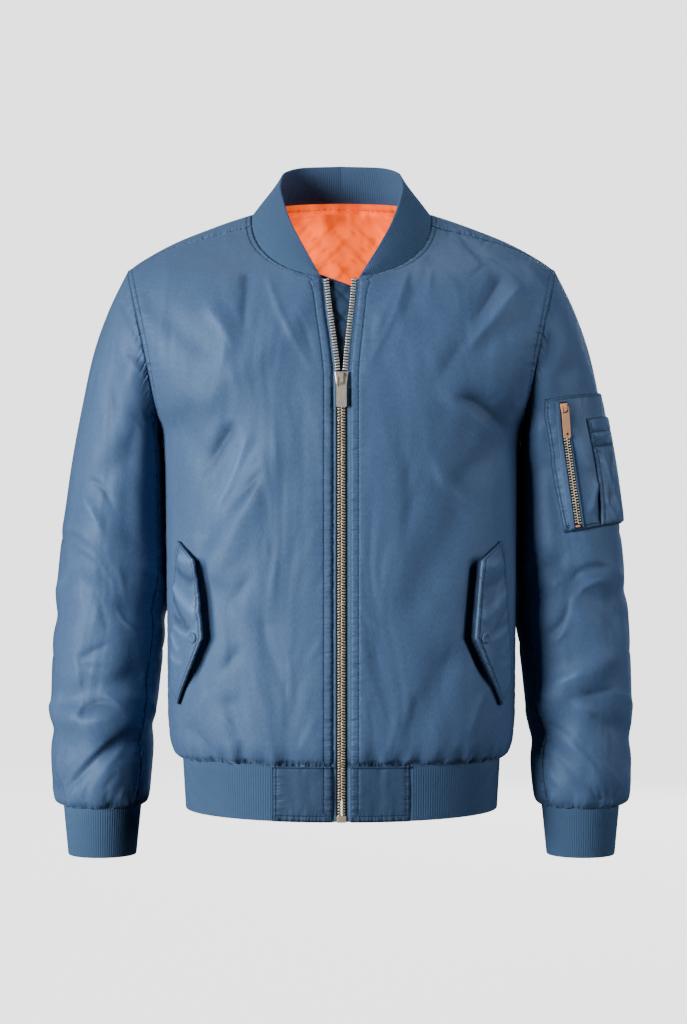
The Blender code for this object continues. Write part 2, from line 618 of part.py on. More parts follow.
def sleeve_patch(side, columns):
    name = "sleeve_left" if side > 0 else "sleeve_right"
    points, normals = [], []
    for t in sleeve_rows():
        prow, nrow = [], []
        for body_t, angle in columns:
            point = sleeve_point(angle, t)
            around = sleeve_normal(angle, t)
            centre = (sleeve_point(0, t) + sleeve_point(180, t)) / 2
            normal = around if around.dot(point - centre) > 0 else -around
            if t == 0:
                normal = seam_normal(body_t)
                point -= seam_step(body_t)
            point, normal = mirrored(point, side), mirrored(normal, side)
            fade = smooth_step(t / 1.0) * smooth_step((len(SLEEVE_RINGS) - 1 - t) / 1.0)
            push = fold_push(name, point, normal) * fade
            push += gather_push(angle / 360, CUFF_GATHERS, point.z, SLEEVE_RINGS[-1].out_z, CUFF_GATHER_DEPTH)
            prow.append(point + normal * push)
            nrow.append(normal)
        points.append(prow)
        normals.append(nrow)
    points = pull_in(points, left=True, right=True, gap=SEAM)
    return pull_in(points, top=True, bottom=True), normals


def build_sleeves():
    for side, word in ((1, "left"), (-1, "right")):
        upper, under = arm_columns()
        wall(f"sleeve_upper_{word}", [sleeve_patch(side, upper)], CLOTH, SATIN)
        wall(f"sleeve_under_{word}", [sleeve_patch(side, under)], CLOTH, SATIN_UNDER)


def ring_points(centre, half_x, half_y, z, count, inset=0.0):
    return [Vector((centre + (half_x - inset) * cos(2 * pi * k / count),
                    SLEEVE_RINGS[-1].mid_y - (half_y - inset) * sin(2 * pi * k / count), z))
            for k in range(count)]


def build_cuffs():
    top = SLEEVE_RINGS[-1]
    levels = [(0.0, 0.0), (1.0, 0.0)]
    ribs = rib_columns(pi * ((top.out_x - top.in_x) / 2 + top.half_y), CUFF_RIB_PITCH)
    for side, word in ((1, "left"), (-1, "right")):
        outer, inner = [], []
        for share, bow in levels:
            z = (top.out_z - SEAM) + (CUFF_EDGE_Z - top.out_z + SEAM) * share
            out_x = top.out_x + (CUFF_EDGE_OUT - top.out_x) * share + bow
            in_x = top.in_x + (CUFF_EDGE_IN - top.in_x) * share - bow
            half_y = top.half_y + (CUFF_EDGE_HALF_Y - top.half_y) * share + bow
            centre, half_x = (out_x + in_x) / 2, (out_x - in_x) / 2
            low = ring_points(centre, half_x, half_y, z, ribs, inset=RIB_HEIGHT)
            high = ring_points(centre, half_x, half_y, z, ribs)
            outer.append([mirrored(h if k % 2 else l, side) for k, (l, h) in enumerate(zip(low, high))])
            plain = ring_points(centre, half_x, half_y, z, ribs // INSIDE_STEP, inset=RIB_HEIGHT + RIB_WALL)
            inner.append([mirrored(p, side) for p in plain])
        ribbed(f"cuff_{word}", outer, inner, KNIT, closed=True)


# ---- Hem -----------------------------------------------------------------------------------------------------
def column_at(x_target, t, side):
    """Share of a body row at which it is a given distance from the middle line."""
    low, high = 0.0, 0.9
    for _ in range(30):
        middle = (low + high) / 2
        if body_point(middle, t, side).x < x_target:
            low = middle
        else:
            high = middle
    return low


def build_hem():
    seam_t, edge_t = ROW_INDEX["hem seam"], ROW_INDEX["hem edge"]
    back_seam, back_edge = ROW_INDEX["back hem seam"], ROW_INDEX["back hem edge"]
    outer, inner, around = [], [], []
    for share in (0.0, 1.0):
        front_t = seam_t + (edge_t - seam_t) * share
        back_t = back_seam + (back_edge - back_seam) * share
        path = []
        for side, order in ((1, 1), (-1, -1)):
            start = column_at(TAB_EDGE + SEAM, front_t, side)
            half = [mirrored(body_point(start + (1 - start) * k / 40, front_t, side), side) for k in range(41)]
            half += [mirrored(body_point(1 - k / 40, back_t, side), side) for k in range(1, 41)]
            path += half if order > 0 else half[-2::-1]
        if share == 0.0:
            path = [p - Vector((0, 0, SEAM)) for p in path]
        around.append(path)
    total = sum((b - a).length for a, b in zip(around[0], around[0][1:]))
    count = rib_columns(total, HEM_RIB_PITCH) + 1
    for path in around:
        line = resample(path, count)
        normals = [Vector((0, 0, 1)).cross(line[min(k + 1, count - 1)] - line[max(k - 1, 0)]).normalized() * -1
                   for k in range(count)]
        normals = [n if n.dot(Vector((p.x, p.y, 0))) > 0 else -n for n, p in zip(normals, line)]
        outer.append([p + n * (0.0 if k % 2 else -RIB_HEIGHT) for k, (p, n) in enumerate(zip(line, normals))])
        inner.append([line[k] - normals[k] * (RIB_HEIGHT + RIB_WALL) for k in range(0, count, INSIDE_STEP)])
    ribbed("hem_rib", outer, inner, KNIT, closed=False)
    for side, word in ((1, "left"), (-1, "right")):
        points, normals = [], []
        for share in (0.0, 0.25, 0.5, 0.75, 1.0):
            t = seam_t + (edge_t - seam_t) * share
            last = column_at(TAB_EDGE, t, side)
            row = [body_point(last * k / 8, t, side) for k in range(9)]
            if share == 0.0:
                row = [p - Vector((0, 0, SEAM)) for p in row]
            bow = 0.0012 * sin(pi * share)
            facing = [outward(body_normal(last * k / 8, max(min(t, seam_t - 0.1), 0.1), side), p)
                      for k, p in enumerate(row)]
            facing = [Vector((n.x, n.y, 0)).normalized() for n in facing]
            points.append([mirrored(p + n * bow, side) for p, n in zip(row, facing)])
            normals.append([mirrored(n, side) for n in facing])
        wall(f"hem_tab_{word}", [(points, normals)], TAB_WALL, SATIN)


# ---- Collar --------------------------------------------------------------------------------------------------
COLLAR_GAP = 0.0005     # between the collar and the slanting neckline
COLLAR_LEVELS = 3
# Stations from the front edge to the middle of the back: neckline angle, and the top edge above it.
Station = namedtuple("Station", "neck top_x top_y top_z")
COLLAR = [
    Station(FRONT_END, 0.0225, -0.0965, -0.0700),
    Station(-68, 0.0310, -0.0905, -0.0560),
    Station(-52, 0.0430, -0.0750, -0.0350),
    Station(-36, 0.0550, -0.0530, -0.0110),
    Station(-18, 0.0635, -0.0260, 0.0140),
    Station(4, 0.0680, 0.0020, 0.0350),
    Station(28, 0.0655, 0.0270, 0.0505),
    Station(58, 0.0430, 0.0480, 0.0605),
    Station(90, 0.0000, 0.0570, 0.0630),
]
COLLAR_BULGE = 0.0018


def neck_angles():
    """Neckline angles of the body's rows, where the collar's edge bends as the panels' edges do."""
    spots = row_positions("front neck", "back neck")
    return [between(BODY_ROWS, "neck", t) for t in spots]


def collar_base(angle, side):
    """Neckline point under the collar."""
    share = min(max(angle / FRONT_END, 0.0), 1.0)
    return neck_point(angle + (neck_end(side) - FRONT_END) * share)


def collar_top(angle, side):
    """Point of the collar's top edge above a neckline angle."""
    x, y, z = (monotone(COLLAR, lambda row: row.neck, field, angle) for field in ("top_x", "top_y", "top_z"))
    share = min(max(angle / FRONT_END, 0.0), 1.0)
    return Vector((x + (OPEN_EDGE[side] - OPEN_EDGE[1]) * share**3, y, z))


def collar_line(angles, edge):
    left = [edge(angle, 1) for angle in angles]
    right = [mirrored(edge(angle, -1), -1) for angle in angles]
    return left + right[::-1][1:]


def collar_facing(bottom, top, k):
    """Outward direction of the band at one of its columns."""
    along = bottom[min(k + 1, len(bottom) - 1)] - bottom[max(k - 1, 0)]
    normal = along.cross(top[k] - bottom[k]).normalized()
    return normal if normal.dot(Vector((bottom[k].x, bottom[k].y, 0.02))) > 0 else -normal


def build_collar():
    even = [FRONT_END + (90 - FRONT_END) * k / 72 for k in range(73)]
    bottom_line = collar_line(neck_angles(), collar_base)
    top_line = collar_line(even, collar_top)
    total = sum((b - a).length for a, b in zip(bottom_line, bottom_line[1:]))
    count = rib_columns(total, COLLAR_RIB_PITCH) + 1
    bottom, top = resample(bottom_line, count), resample(top_line, count)
    outer, inner = [[] for _ in range(COLLAR_LEVELS)], [[] for _ in range(COLLAR_LEVELS)]
    for k in range(count):
        facing = collar_facing(bottom, top, k)
        start = bottom[k] + (top[k] - bottom[k]).normalized() * COLLAR_GAP
        middle = abs(2 * k / (count - 1) - 1)
        bulge = COLLAR_BULGE * smooth_step((1 - middle) / 0.25)
        for level in range(COLLAR_LEVELS):
            height = level / (COLLAR_LEVELS - 1)
            point = start.lerp(top[k], height) + facing * bulge * sin(pi * height)
            outer[level].append(point - facing * (0.0 if k % 2 else RIB_HEIGHT))
            if k % INSIDE_STEP == 0:
                inner[level].append(point - facing * (RIB_HEIGHT + RIB_WALL))
    ribbed("collar", outer, inner, KNIT, closed=False)


# ---- Lining and wind flap ------------------------------------------------------------------------------------
LINING_GAP = 0.0095     # from the shell's outside to the lining's outside, past the deepest fold
LINING_EDGE_GAP = 0.0030
LINING_COLUMNS = 5
NECK_ROWS = 3           # the back lining's first rows, which start on the neckline
BAND_INSIDE = 0.0042    # from the collar's outside to the lining band inside its lower edge
BAND_RISE = 0.10


def inner_patch(rows, side, columns, u_start=0.0, u_end=0.93):
    """Lining points behind the shell: close to it along the neck and deeper further down."""
    points, normals = [], []
    for r, t in enumerate(rows):
        prow, nrow = [], []
        for k in range(columns + 1):
            u = u_start + (u_end - u_start) * k / columns
            point = body_point(u, t, side)
            normal = outward(body_normal(u, t, side), point)
            neck = between(BODY_ROWS, "neck", t)
            if u == 0.0 and neck > 89.0:
                normal = Vector((0.0, normal.y, normal.z)).normalized()
            away = min(max(r - NECK_ROWS, 0) / 3, 1.0) if neck > 89.0 else 0.0
            away = max(away, smooth_step(u / 0.35))
            gap = LINING_EDGE_GAP + (LINING_GAP - LINING_EDGE_GAP) * away
            point -= normal * gap
            if u == 0.0 and r <= NECK_ROWS:
                facing = neck_facing(neck)
                point -= facing * BAND_INSIDE
                normal = (normal + facing).normalized()
            prow.append(mirrored(point, side))
            nrow.append(mirrored(normal, side))
        points.append(prow)
        normals.append(nrow)
    return points, normals


def neck_facing(angle):
    """Outward direction of the collar at the neckline."""
    step = 2.0
    along = collar_base(min(angle + step, 90.0), 1) - collar_base(angle - step, 1)
    normal = along.cross(collar_top(angle, 1) - collar_base(angle, 1)).normalized()
    normal = normal if normal.dot(collar_base(angle, 1)) > 0 else -normal
    return Vector((0.0, normal.y, normal.z)).normalized() if angle > 89.0 else normal


def neck_band(patch, rows, side):
    """The lining's top edge, which stands up inside the collar's lower edge."""
    points, normals = [], []
    for prow, nrow, t in zip(patch[0][:NECK_ROWS + 1], patch[1], rows):
        angle = between(BODY_ROWS, "neck", t)
        facing = neck_facing(angle)
        raised = collar_base(angle, 1).lerp(collar_top(angle, 1), BAND_RISE) - facing * BAND_INSIDE
        points.append([mirrored(raised, side), prow[0]])
        normals.append([mirrored(facing, side), nrow[0]])
    return points, normals


def rows_at(*places):
    """Row positions from (name, shift) pairs."""
    return [ROW_INDEX[name] + shift for name, shift in places]


def build_linings():
    back_rows = rows_at(("ridge", 0.0), ("yoke", 0.0), ("yoke", 0.5), ("back neck", 0.0), ("blade one", 0.0),
                        ("blade two", 0.0), ("blade three", 0.0), ("blade four", 0.0), ("back underarm", 0.0),
                        ("back ribs", 0.0), ("back ribs", 0.5), ("back waist", 0.0), ("back low", 0.0),
                        ("back blouse", 0.3))
    patches = [inner_patch(back_rows, side, LINING_COLUMNS) for side in (1, -1)]
    patches += [neck_band(patch, back_rows, side) for patch, side in zip(patches, (1, -1))]
    wall("lining_back", patches, LINING, LINING_SATIN)
    front_rows = rows_at(("blouse", 0.7), ("low", 0.0), ("waist", 0.0), ("waist", 0.5), ("ribs", 0.0),
                         ("underarm", 0.0), ("chest", 0.0), ("upper chest", 0.0), ("collarbone", 0.2),
                         ("front neck", 0.3), ("neck two", 0.3))
    for side, word in ((1, "left"), (-1, "right")):
        patch = inner_patch(front_rows, side, LINING_COLUMNS - 1, u_start=0.22)
        wall(f"lining_front_{word}", [patch], LINING, LINING_SATIN)


FLAP_HALF = 0.030
FLAP_DEPTH = 0.0065     # behind the outside of the fronts
FLAP_TOP = (-0.0700, -0.0925)   # height at its right and left corner: it slopes


def centre_depth(z):
    """Depth of the front's outside on the centre line."""
    rows = [row for row in BODY_ROWS if row.neck <= FRONT_END + 0.01]
    return monotone(rows, lambda row: row.mid_z, "mid_y", z)


def build_wind_flap():
    points, normals = [], []
    rows = 10
    columns = 4
    for r in range(rows + 1):
        prow = []
        for k in range(columns + 1):
            share = k / columns
            top = FLAP_TOP[0] + (FLAP_TOP[1] - FLAP_TOP[0]) * share
            z = top + (HEM_SEAM + 0.004 - top) * r / rows
            x = -FLAP_HALF + 2 * FLAP_HALF * share
            prow.append(Vector((x, centre_depth(z) + FLAP_DEPTH + 4.0 * x * x, z)))
        points.append(prow)
        normals.append([Vector((0, -1, 0))] * (columns + 1))
    wall("wind_flap", [(points, normals)], 0.0016, QUILTED)


# ---- Main zip ------------------------------------------------------------------------------------------------
TAPE_BEHIND = 0.0036    # tape's face behind the outside of the fronts
TAPE_THICK = 0.0007
TAPE_REACH = 0.0060     # past the front's edge, under the cloth
TAPE_INSIDE = 0.0085    # from the front's edge to the tape's free edge
CHAIN_HALF = 0.0041
CHAIN_THICK = 0.0022
TEETH_WIDTH = 0.0036
CHAIN_TOP = -0.1955
CHAIN_BOTTOM = -0.6462
TAPE_BOTTOM = -0.6535
ZIP_TOP = -0.0778
TEETH_TOP = -0.0784
TEETH_BOTTOM = -0.1770
ZIP_STEPS = (5, 1, 8, 1)


def zip_heights():
    """Heights that all strips of the zip share, closer where the front turns in over the rib."""
    marks = [TEETH_TOP, TEETH_BOTTOM, CHAIN_TOP, -0.5600, CHAIN_BOTTOM]
    heights = [ZIP_TOP]
    for top, bottom, steps in zip(marks, marks[1:], ZIP_STEPS):
        heights += [top + (bottom - top) * k / steps for k in range(steps)]
    for row in BODY_ROWS:
        if row.name in ("blouse", "tuck", "hem seam"):
            heights.append(row.mid_z)
    return sorted(heights + [CHAIN_BOTTOM, TAPE_BOTTOM], reverse=True)


def front_depth(x, z, side):
    """Depth of a front's outside near the centre line."""
    low, high = float(ROW_INDEX["hem edge"]), float(ROW_INDEX["front neck"])
    for _ in range(24):
        middle = (low + high) / 2
        if between(BODY_ROWS, "mid_z", middle) < z:
            low = middle
        else:
            high = middle
    return body_point(column_at(x, low, side), low, side).y


def strip(name, top, bottom, span, depth, thickness, look):
    """An upright strip between two heights: span(z) gives its two edges, depth(x, z) the depth of its face."""
    heights = [z for z in zip_heights() if bottom - 1e-6 <= z <= top + 1e-6]
    points = [[Vector((x, depth(x, z), z)) for x in span(z)] for z in heights]
    normals = [[Vector((0, -1, 0))] * 2 for _ in heights]
    return wall(name, [(points, normals)], thickness, look)


def build_main_zip():
    def teeth_depth(x, z):
        return centre_depth(z) + TAPE_BEHIND - SEAM - CHAIN_THICK

    for side, word in ((1, "left"), (-1, "right")):
        def tape_span(z, side=side):
            edge = front_edge(z, side)
            return side * (edge - TAPE_INSIDE), side * (edge + TAPE_REACH)

        def tape_depth(x, z, side=side):
            behind = front_depth(abs(x), z, side) if abs(x) > front_edge(z, side) else centre_depth(z)
            return behind + TAPE_BEHIND

        def teeth_span(z, side=side):
            edge = front_edge(z, side) - TAPE_INSIDE
            return side * edge, side * (edge + TEETH_WIDTH)

        strip(f"zip_tape_{word}", ZIP_TOP, TAPE_BOTTOM, tape_span, tape_depth, TAPE_THICK, TAPE)
        strip(f"zip_teeth_{word}", TEETH_TOP, TEETH_BOTTOM, teeth_span, teeth_depth, CHAIN_THICK, BRASS)
    strip("zip_chain", CHAIN_TOP, CHAIN_BOTTOM, lambda z: (-CHAIN_HALF, CHAIN_HALF), teeth_depth, CHAIN_THICK,
          BRASS)
    depth = centre_depth(CHAIN_BOTTOM)
    stop_box("zip_stop", Vector((0, depth + TAPE_BEHIND - SEAM - 0.0018, CHAIN_BOTTOM - 0.0042)),
             (0.0098, 0.0034, 0.0072), BRASS)


def stop_box(name, centre, size, look, turn=None):
    bm = bmesh.new()
    bmesh.ops.create_cube(bm, size=1.0)
    bmesh.ops.scale(bm, vec=size, verts=bm.verts)
    bmesh.ops.bevel(bm, geom=bm.edges[:], offset=0.0006, segments=1, affect="EDGES", profile=0.5, material=-1)
    if turn is not None:
        bmesh.ops.rotate(bm, matrix=turn, verts=bm.verts)
    bmesh.ops.translate(bm, verts=bm.verts, vec=centre)
    return add_object(name, bm, look)


def plate(outline, hole, thickness):
    """A flat plate in the XZ plane with a hole, both outlines with the same number of points."""
    bm = bmesh.new()
    layers = []
    for y in (-thickness / 2, thickness / 2):
        layers.append([[bm.verts.new((x, y, z)) for x, z in ring] for ring in (outline, hole)])
    count = len(outline)
    for k in range(count):
        n = (k + 1) % count
        for edge, cut in layers:
            bm.faces.new([edge[k], edge[n], cut[n], cut[k]])
        for which in (0, 1):
            front, back = layers[0][which], layers[1][which]
            bm.faces.new([front[k], front[n], back[n], back[k]])
    return bm


def rounded(half_width, top, bottom, corner, count=4):
    """Outline of a rounded rectangle, from its top right corner round."""
    points = []
    for cx, cz, start in ((half_width, top, 90), (half_width, bottom, 0), (-half_width, bottom, -90),
                          (-half_width, top, -180)):
        for k in range(count):
            angle = radians(start - 90 * k / (count - 1))
            mx = cx - corner if cx > 0 else cx + corner
            mz = cz - corner if cz == top else cz + corner
            points.append((mx + corner * cos(angle), mz + corner * sin(angle)))
    return points


# Sizes of a slider with its pull. bar: half height of the bar under the bridge. hinge_out, hinge_up: the pull's
# axis from the slider's face and above its middle.
Runner = namedtuple("Runner", "width thick length bridge_width bridge_out bridge_wall hinge_out hinge_up "
                              "pull_half pull_length pull_thick bar window_end hole")
MAIN_RUNNER = Runner(0.0145, 0.0044, 0.0160, 0.0034, 0.0036, 0.0011, 0.0013, 0.0022,
                     0.0054, 0.0320, 0.0010, 0.0006, 0.0103, 0.0)
SMALL_RUNNER = Runner(0.0078, 0.0034, 0.0095, 0.0020, 0.0031, 0.0009, 0.0012, 0.0014,
                      0.0043, 0.0340, 0.0010, 0.0005, 0.0070, 0.0022)


def bridge_mesh(run):
    """The arch on the slider's face: an outline along Z, as wide as the bridge."""
    bm = bmesh.new()
    face = -run.thick / 2
    reach = run.length * 0.44
    sunk = 0.0006
    shallow, thin = run.bridge_out, run.bridge_wall
    outside = [(sunk, reach), (-shallow * 0.8, reach * 0.86), (-shallow, reach * 0.62), (-shallow, -reach * 0.52),
               (-shallow * 0.8, -reach * 0.76), (sunk, -reach * 0.93)]
    inside = [(sunk, reach - thin), (thin - shallow * 0.85, reach * 0.86 - thin), (thin - shallow, reach * 0.50),
              (thin - shallow, -reach * 0.40), (thin - shallow * 0.85, thin - reach * 0.76),
              (sunk, thin - reach * 0.93)]
    sides = []
    for x in (-run.bridge_width / 2, run.bridge_width / 2):
        sides.append([[bm.verts.new((x, face + y, z)) for y, z in line] for line in (outside, inside)])
    for k in range(len(outside) - 1):
        for out, into in sides:
            bm.faces.new([out[k], out[k + 1], into[k + 1], into[k]])
        for which in (0, 1):
            a, b = sides[0][which], sides[1][which]
            bm.faces.new([a[k], a[k + 1], b[k + 1], b[k]])
    (out_a, in_a), (out_b, in_b) = sides
    for k in (0, -1):
        bm.faces.new([out_a[k], out_b[k], in_b[k], in_a[k]])
    bmesh.ops.recalc_face_normals(bm, faces=bm.faces)
    return bm


def zip_runner(prefix, back, run, look, frame):
    """Slider with its bridge, and its pull. back: middle of the slider's back; frame turns -Y to face outwards."""
    slider_centre = back + frame @ Vector((0, -run.thick / 2, 0))
    hinge = slider_centre + frame @ Vector((0, -run.thick / 2 - run.hinge_out, run.hinge_up))
    body = bmesh.new()
    bmesh.ops.create_cube(body, size=1.0)
    bmesh.ops.scale(body, vec=(run.width, run.thick, run.length), verts=body.verts)
    for vert in body.verts:
        if vert.co.z < 0:
            vert.co.x *= 0.72
    bmesh.ops.bevel(body, geom=body.edges[:], offset=run.thick * 0.16, segments=2, affect="EDGES", profile=0.5,
                    material=-1)
    bridge = bridge_mesh(run)
    for bm in (body, bridge):
        bmesh.ops.transform(bm, matrix=frame.to_4x4(), verts=bm.verts)
        bmesh.ops.translate(bm, verts=bm.verts, vec=slider_centre)
    slider = add_object(f"{prefix}_slider", body, look)
    cut_in(slider, bridge, f"{prefix}_bridge_helper", "UNION", look)
    outline = rounded(run.pull_half, run.bar, -run.pull_length, 0.0012)
    window = rounded(run.pull_half - 0.0013, -run.bar, -run.window_end, 0.0006)
    tab = plate(outline, window, run.pull_thick)
    bmesh.ops.transform(tab, matrix=frame.to_4x4(), verts=tab.verts)
    bmesh.ops.translate(tab, verts=tab.verts, vec=hinge)
    pull = add_object(f"{prefix}_pull", tab, look, origin=hinge)
    if run.hole > 0:
        drill = bmesh.new()
        bmesh.ops.create_cone(drill, cap_ends=True, segments=16, radius1=run.hole, radius2=run.hole, depth=0.006)
        bmesh.ops.rotate(drill, matrix=Matrix.Rotation(radians(90), 3, "X"), verts=drill.verts)
        bmesh.ops.translate(drill, verts=drill.verts, vec=(0, 0, run.hole * 2 - run.pull_length))
        bmesh.ops.transform(drill, matrix=frame.to_4x4(), verts=drill.verts)
        bmesh.ops.translate(drill, verts=drill.verts, vec=hinge)
        cut_in(pull, drill, f"{prefix}_hole_helper", "DIFFERENCE", look)


def cut_in(obj, bm, name, operation, look):
    """Join a helper to an object, or cut it out."""
    helper = add_object(name, bm, look)
    helper.hide_render = True
    helper.display_type = "WIRE"
    cut = obj.modifiers.new(name, "BOOLEAN")
    cut.operation = operation
    cut.object = helper
    cut.solver = "EXACT"


def build_main_runner():
    z = (TEETH_BOTTOM + CHAIN_TOP) / 2
    reach = MAIN_RUNNER.length / 2
    lean = (centre_depth(z + reach) - centre_depth(z - reach)) / (2 * reach)
    back = Vector((0, centre_depth(z) + TAPE_BEHIND - 2 * SEAM, z))
    zip_runner("zip", back, MAIN_RUNNER, NICKEL, Matrix.Rotation(-atan(lean), 3, "X"))


# ---- What lies on the panels ---------------------------------------------------------------------------------
def skin_of(name):
    """Search tree of a finished object's faces."""
    return BVHTree.FromObject(bpy.data.objects[name], bpy.context.evaluated_depsgraph_get())


def lay(tree, origin, facing, up, flat, lift):
    """A flat point (width, height) laid onto the skin, `lift` above it: place and the skin's normal."""
    right = up.cross(facing).normalized()
    start = origin + right * flat[0] + up * flat[1] + facing * 0.15
    place, normal, _, _ = tree.ray_cast(start, -facing)
    if place is None:
        raise ValueError(f"nothing under {flat}")
    return place, normal


def laid_sheet(name, tree, place, rows, thickness, lift, look, spread=6):
    """A patch cut flat in rows (height, left, right) and laid on a skin. lift(w, h) is its height above it."""
    origin, facing, up = place
    points, normals = [], []
    for k, (height, left, right) in enumerate(rows):
        prow, nrow = [], []
        for j in range(spread + 1):
            w = left + (right - left) * j / spread
            spot, normal = lay(tree, origin, facing, up, (w, height), 0.0)
            normal = (normal * 0.5 + facing * 0.5).normalized()
            prow.append(spot + normal * (lift(j / spread, k / (len(rows) - 1)) + thickness))
            nrow.append(normal)
        points.append(prow)
        normals.append(nrow)
    return wall(name, [(points, normals)], thickness, look)


# Flap of the slanted hand pocket: height from its middle, then its back and its front edge.
FLAP_ROWS = [
    (0.0872, -0.0075, -0.0052), (0.0673, -0.0150, 0.0262), (0.0400, -0.0190, 0.0290), (0.0100, -0.0235, 0.0318),
    (-0.0157, -0.0280, 0.0337), (-0.0400, -0.0320, 0.0215), (-0.0653, -0.0340, 0.0075),
    (-0.0880, -0.0100, -0.0062),
]
FLAP_LIFT = 0.0018
FLAP_STAND = 0.0022     # how far its free edges stand off
SNAP_RADIUS = 0.0062


def build_hand_pockets():
    for side, word in ((1, "left"), (-1, "right")):
        tree = skin_of(f"front_{word}")
        facing = Vector((side * sin(radians(52)), -cos(radians(52)), 0.0))
        origin = Vector((side * 0.16135 - 0.00025, -0.0640 - side * 0.0037, -0.4440))
        up = Vector((0, 0, 1))
        rows = [(h, -b, -a) for h, a, b in FLAP_ROWS] if side > 0 else FLAP_ROWS
        edge = (lambda w: 1 - w) if side > 0 else (lambda w: w)

        def lift(w, h, edge=edge):
            return FLAP_LIFT + FLAP_STAND * smooth_step((edge(w) - 0.45) / 0.5) * smooth_step(h / 0.2)

        laid_sheet(f"pocket_flap_{word}", tree, (origin, facing, up), rows, 0.0022, lift, SATIN)
        flap = skin_of(f"pocket_flap_{word}")
        centre, normal = lay(flap, origin, facing, up, (-side * 0.0208, -0.0157), 0.0)
        build_snap(f"snap_{word}", centre + normal * SEAM, normal)


def build_snap(name, centre, normal):
    bm = bmesh.new()
    bmesh.ops.create_cone(bm, cap_ends=True, segments=16, radius1=SNAP_RADIUS, radius2=SNAP_RADIUS * 0.72,
                          depth=0.0018)
    bmesh.ops.translate(bm, verts=bm.verts, vec=(0, 0, 0.0010))
    turn = normal.to_track_quat("Z", "Y").to_matrix()
    bmesh.ops.rotate(bm, matrix=turn, verts=bm.verts)
    bmesh.ops.translate(bm, verts=bm.verts, vec=centre + normal * SEAM)
    add_object(name, bm, SATIN)


SLEEVE_POCKET_YAW = 38.0
SLEEVE_POCKET_PLACE = Vector((0.2790, -0.0300, -0.2660))
SLEEVE_POCKET_ROWS = [
    (0.0700, -0.0600, 0.0480), (0.0500, -0.0566, 0.0490), (0.0300, -0.0533, 0.0500), (0.0100, -0.0503, 0.0500),
    (-0.0100, -0.0480, 0.0500), (-0.0300, -0.0467, 0.0500), (-0.0500, -0.0458, 0.0490), (-0.0750, -0.0448, 0.0480),
]
PEN_POCKET_ROWS = [(0.0430, -0.0150, 0.0470), (0.0200, -0.0116, 0.0480), (-0.0040, -0.0082, 0.0485),
                   (-0.0280, -0.0068, 0.0485), (-0.0520, -0.0080, 0.0475), (-0.0735, -0.0104, 0.0465)]
POCKET_LIFT = 0.0021
# Zip of the sleeve pocket: its middle line in the pocket's flat measures.
SLEEVE_ZIP_TOP = (-0.0465, 0.0640)
SLEEVE_ZIP_BOTTOM = (-0.0365, -0.0725)
SLEEVE_TAPE_HALF = 0.0056
SLEEVE_CHAIN_HALF = 0.0023
SLEEVE_CHAIN_THICK = 0.0015
SLEEVE_ZIP_ROWS = (0.0, 0.09, 0.2, 0.3, 0.4, 0.5, 0.6, 0.7, 0.8, 0.9, 0.97, 1.0)


def zip_row(share, half):
    """Height and both edges of the sleeve zip, from its top (0) to its bottom (1)."""
    (w0, h0), (w1, h1) = SLEEVE_ZIP_TOP, SLEEVE_ZIP_BOTTOM
    middle = w0 + (w1 - w0) * share + 0.0015 * sin(pi * share)
    return h0 + (h1 - h0) * share, middle - half, middle + half


def build_sleeve_zip(place):
    origin, facing, up = place
    pocket = skin_of("sleeve_pocket")
    tape_rows = [zip_row(share, SLEEVE_TAPE_HALF) for share in SLEEVE_ZIP_ROWS]
    laid_sheet("sleeve_zip_tape", pocket, place, tape_rows, 0.0006, lambda w, h: SEAM * 3, TAPE, spread=2)
    tape = skin_of("sleeve_zip_tape")
    chain_rows = [zip_row(share, SLEEVE_CHAIN_HALF) for share in SLEEVE_ZIP_ROWS[1:-1]]
    laid_sheet("sleeve_zip_chain", tape, place, chain_rows, SLEEVE_CHAIN_THICK, lambda w, h: SEAM, BRASS,
               spread=2)

    def on_tape(share):
        height, left, right = zip_row(share, 0.0)
        return lay(tape, origin, facing, up, (left, height), 0.0)

    (high, _), (spot, normal), (low, _) = on_tape(0.01), on_tape(0.045), on_tape(0.08)
    along = (high - low).normalized()
    normal = (normal - along * normal.dot(along)).normalized()
    frame = Matrix((along.cross(normal), -normal, along)).transposed()
    zip_runner("sleeve_zip", spot + normal * SEAM, SMALL_RUNNER, ROSE, frame)
    end, normal = on_tape(0.985)
    turn = Matrix((along.cross(normal).normalized(), -normal, along)).transposed()
    stop_box("sleeve_zip_stop", end + normal * 0.0014, (0.0052, 0.0020, 0.0024), ROSE, turn)


def build_sleeve_pocket():
    tree = skin_of("sleeve_upper_left")
    yaw = radians(SLEEVE_POCKET_YAW)
    facing = Vector((sin(yaw), -cos(yaw), 0.12)).normalized()
    up = Vector((0, 0, 1)) - facing * facing.z
    up = (up.normalized() + Vector((-0.10, -0.06, 0))).normalized()
    up = (up - facing * up.dot(facing)).normalized()
    place = (SLEEVE_POCKET_PLACE, facing, up)
    laid_sheet("sleeve_pocket", tree, place, SLEEVE_POCKET_ROWS, 0.0020, lambda w, h: POCKET_LIFT, SATIN, spread=10)
    pocket = skin_of("sleeve_pocket")
    laid_sheet("pen_pocket", pocket, place, PEN_POCKET_ROWS, 0.0018,
               lambda w, h: 0.0008 + 0.0016 * sin(pi * w), SATIN, spread=6)
    build_sleeve_zip(place)


# ---- Build ---------------------------------------------------------------------------------------------------
for leftover in list(bpy.data.objects):
    bpy.data.objects.remove(leftover)
build_fronts()
build_back()
build_sleeves()
build_cuffs()
build_hem()
build_collar()
build_linings()
build_wind_flap()
build_main_zip()
build_main_runner()
build_hand_pockets()
build_sleeve_pocket()
